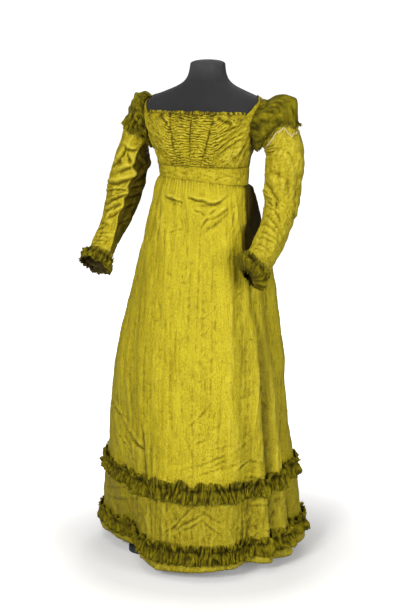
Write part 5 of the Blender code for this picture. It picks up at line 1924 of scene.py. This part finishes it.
def makeOverSleeve(side, form, name, node, table, start, end, look, seed):
    surface, shape = form[0], overSleeve
    stand, top, wave = curvesOf(table)
    columns, frayEdges, lapShare = look["columns"], look["frayEdges"], shape["lapShare"]
    drift = Vector((0, 0, seed))

    def place(across, up):
        turn = -side * 360 * across
        down = 1 - up
        ring = mix(start, end(around(turn)), down)
        extra = top(down) * bump(around(turn), look["top"], look["topSpread"])
        t = across * 2 * pi
        circle = Vector((cos(t) * shape["circle"], sin(t) * shape["circle"], 0.0))
        wander = shape["wander"] * (down - 0.5) * noise.noise(circle * 30 + drift)
        folds = overSleeveWave(across, look["pleats"] + wander, look["finer"], seed)
        spot = circle + Vector((0, 0, ring * shape["ringLength"] + seed))
        dents = (crumples(spot, (shape["mainDent"],))
                 + look["fine"] * crumples(spot, shape["fineDents"]))
        uneven = clamp(1.0 + 1.2 * noise.noise(spot * 45), 0.2, 1.8)
        outward = stand(down) + extra + wave(down) * folds * uneven
        outward += dents * look["dented"] * ease(down / 0.15 + 0.2)
        fromKnob = (ring - look["knobAt"][1]) / look["knobSpread"][1]
        outward += (look["knob"] * bump(around(turn), look["knobAt"][0], look["knobSpread"][0])
                    * exp(-fromKnob ** 2))
        if up in (0.0, 1.0) and up in frayEdges:
            ragged = shape["tooth"] * toothEdge(across * columns)
            ragged += shape["ragged"] * noise.noise(circle * 110 + Vector((seed, 0, up)))
            ring += ragged * (1 if up == 0 else -1)
        if stand(down) > 0:
            outward = max(outward, 0.0004)
        point = surface(turn, ring, outward + 0.0012, creased=0.6)
        if start < 1 and down < lapShare:  # gathered edge lapped over the strap
            lap = shape["lap"] + shape["lapUneven"] * noise.noise(circle * 90 + drift)
            edge = overForm(*armhole(turn, -lap),
                            clothWall + shape["lapHeight"] + shape["lapWave"] * folds)
            edge.x *= side
            point = edge.lerp(point, ease(down / lapShare))
        return point

    def paintedShade(across, up):  # painted shade against the armhole, under the arm
        turn, ring = around(360 * across * -side), mix(start, end(0.0), 1 - up)
        return look["armpitShade"] * bump(turn, 64, 42) * ease((1.9 - ring) / 1.5)

    def looseEnd(rng):
        across = rng.random()
        lower = rng.choice(frayEdges) == 0
        root = place(across, 0.004 if lower else 0.996)
        further = place(across, 0.06 if lower else 0.94)
        beside = place((across + 0.01) % 1.0, 0.004 if lower else 0.996)
        along = (beside - root).normalized()
        way = (root - further).normalized()
        return root, way + along * rng.uniform(-frayLook["slant"], frayLook["slant"]), along

    piece = clothPiece(name, look, place, look["finish"], [node], closed=True,
                       wall=gauzeWall, paintedShade=paintedShade, lining=look["inside"])
    fray = addFray(name + "Fray", int(seed * 10), shape["looseEnds"], shape["longestEnd"],
                   looseEnd)
    "silkSleeve" + sideName(side)
    return piece


sleeveSides = {
    # rings, folds, folded edge, over-sleeve, its end, cuff, rings it spans, seed
    1: (leftSleeve, leftSleeveFolds, leftInnerEdge, leftPuff, leftPuffEnd,
        leftCuff, (11.8, 12.72), 2.0),
    -1: (rightSleeve, rightSleeveFolds, rightInnerEdge, rightPuff, rightPuffEnd,
         rightCuff, (11.5, 12.34), 5.0),
}
sleeveForms = {side: sleeveForm(side, *rows[:3]) for side, rows in sleeveSides.items()}
for side, (*_, puffRows, puffEnd, cuffRows, cuffSpan, seed) in sleeveSides.items():
    word, form = sideName(side), sleeveForms[side]
    low = word.lower()
    makeSleeve(side, form, "silkSleeve" + word, "sleeve_" + low)
    makeOverSleeve(side, form, "gauzePuff" + word, "puff_" + low, puffRows, 0.04,
                   curveOf(puffEnd, 1), dict(puffPiece, **puffSides[side]), seed)
    makeOverSleeve(side, form, "gauzeCuff" + word, "cuff_ruffle_" + low, cuffRows, cuffSpan[0],
                   lambda turn: cuffSpan[1], dict(cuffPiece, **cuffSides[side]), seed + 1)
print("sleeves made")


# cream edge of the lining, let down below the left over-sleeve
edgingPiece = {
    "halfWidth": 0.0016, "thickness": 0.0008, "lift": 0.0024, "steps": 7,
    "path": (
        # turn, ring
        (46, 2.86), (30, 2.7), (14, 2.62), (2, 2.44), (-12, 2.34), (-18, 2.5), (-26, 2.56),
        (-36, 2.52), (-42, 2.96), (-50, 3.36), (-58, 3.22), (-69, 3.34), (-80, 3.24),
        (-92, 3.4), (-104, 3.3),
    ),
}


def makeEdging():
    surface = sleeveForms[1][0]
    path, steps, lift = edgingPiece["path"], edgingPiece["steps"], edgingPiece["lift"]
    middle = []
    for (a, b), (c, d) in zip(path, path[1:]):
        middle += [(mix(a, c, k / steps), mix(b, d, k / steps)) for k in range(steps)]
    bm = bmesh.new()
    pairs = []
    for k, (turn, ring) in enumerate(middle):
        point = surface(turn, ring, lift)
        before, after = middle[max(k - 1, 0)], middle[min(k + 1, len(middle) - 1)]
        ahead = surface(*after, lift) - surface(*before, lift)
        outward = surface(turn, ring, 0.01) - surface(turn, ring, 0.0)
        half = edgingPiece["halfWidth"]
        beside = ahead.cross(outward).normalized() * half * (0.7 + 0.6 * sin(k * 1.7) ** 2)
        pairs.append((bm.verts.new(point + beside), bm.verts.new(point - beside)))
    for (a, b), (c, d) in zip(pairs, pairs[1:]):
        bm.faces.new((a, c, d, b))
    bmesh.ops.recalc_face_normals(bm, faces=bm.faces[:])
    piece = finishPiece("creamEdging", bm, creamThread, [])
    solid = piece.modifiers.new("wall", "SOLIDIFY")
    solid.thickness = edgingPiece["thickness"]
    solid.offset = 0.0
    return piece


makeEdging()
print("edging made")


# floor, light and camera
stageLook = {
    "half": 400.0, "roughness": 0.9,
    "floor": 0.79, "floorBounce": 0.25,
    "glowNear": 0.18, "glowFar": 1.05, "nearAt": 0.36, "farAt": 0.95,
    "world": 0.1,
}
lightTable = (
    # name, place, aimed at, size, power, colour
    ("key", (-0.45, -4.3, 2.45), (0.0, 0.0, 0.75), 1.3, 178.0, (1.0, 0.985, 0.95)),
    ("side", (3.6, -1.9, 1.3), (0.0, 0.0, 0.45), 2.0, 106.0, (1.0, 0.99, 0.97)),
    ("top", (-0.2, -1.4, 3.5), (0.0, 0.0, 0.6), 1.6, 24.0, (1.0, 1.0, 1.0)),
    ("back", (-1.2, 4.2, 2.0), (0.0, 0.0, 0.7), 2.4, 85.0, (1.0, 0.99, 0.97)),
)


def makeStage():
    bm = bmesh.new()
    bmesh.ops.create_grid(bm, x_segments=2, y_segments=2, size=stageLook["half"])
    mesh = bpy.data.meshes.new("studioFloor")
    bm.to_mesh(mesh)
    bm.free()
    floor = bpy.data.objects.new("studioFloor", mesh)
    bpy.context.scene.collection.objects.link(floor)
    look, tree, shader = newMaterial("studioPaper")
    seen = addNode(tree, "ShaderNodeLightPath").outputs["Is Camera Ray"]
    grey = remap(tree, seen, 0.0, 1.0, stageLook["floorBounce"], stageLook["floor"])
    away = addNode(tree, "ShaderNodeVectorMath", {"operation": "LENGTH"}, i0=objectPlace(tree))
    glow = remap(tree, away.outputs["Value"], stageLook["nearAt"], stageLook["farAt"],
                 stageLook["glowNear"], stageLook["glowFar"])
    setShader(tree, shader, {
        "Roughness": stageLook["roughness"], "Base Color": grey,
        "Emission Color": (1.0, 1.0, 1.0, 1.0),
        "Emission Strength": maths(tree, "MULTIPLY", seen, glow)})
    mesh.materials.append(look)

    world = bpy.data.worlds.new("studio")
    bpy.context.scene.world = world
    world.use_nodes = True
    tree = world.node_tree
    ray = addNode(tree, "ShaderNodeLightPath").outputs["Is Camera Ray"]
    setShader(tree, tree.nodes["Background"], {
        "Color": (1.0, 1.0, 1.0, 1.0),
        "Strength": remap(tree, ray, 0.0, 1.0, stageLook["world"], 1.0)})

    for name, place, target, size, power, colour in lightTable:
        lamp = bpy.data.lights.new(name, "AREA")
        lamp.energy, lamp.size, lamp.color = power, size, colour
        item = bpy.data.objects.new(name, lamp)
        item.location = place
        item.rotation_euler = (Vector(target) - Vector(place)).to_track_quat("-Z", "Y").to_euler()
        bpy.context.scene.collection.objects.link(item)


cameraPlace = {
    "turn": 20.0, "away": 4.5, "side": -0.008, "height": 1.65, "tilt": 78.7,
    "lens": 93.07, "sensor": 36.0,
}


def makeCamera():
    turn, side = radians(cameraPlace["turn"]), cameraPlace["side"]
    away = cameraPlace["away"]
    lens = bpy.data.cameras.new("camera")
    lens.sensor_fit = "VERTICAL"
    lens.sensor_height = cameraPlace["sensor"]
    lens.lens = cameraPlace["lens"]
    lens.clip_end = 900.0
    camera = bpy.data.objects.new("camera", lens)
    camera.location = (side * cos(turn) + away * sin(turn),
                       side * sin(turn) - away * cos(turn), cameraPlace["height"])
    camera.rotation_euler = (radians(cameraPlace["tilt"]), 0.0, turn)
    bpy.context.scene.collection.objects.link(camera)
    bpy.context.scene.camera = camera


makeStage()
makeCamera()
bpy.context.scene.view_settings.view_transform = "Standard"
print("stage and camera made")
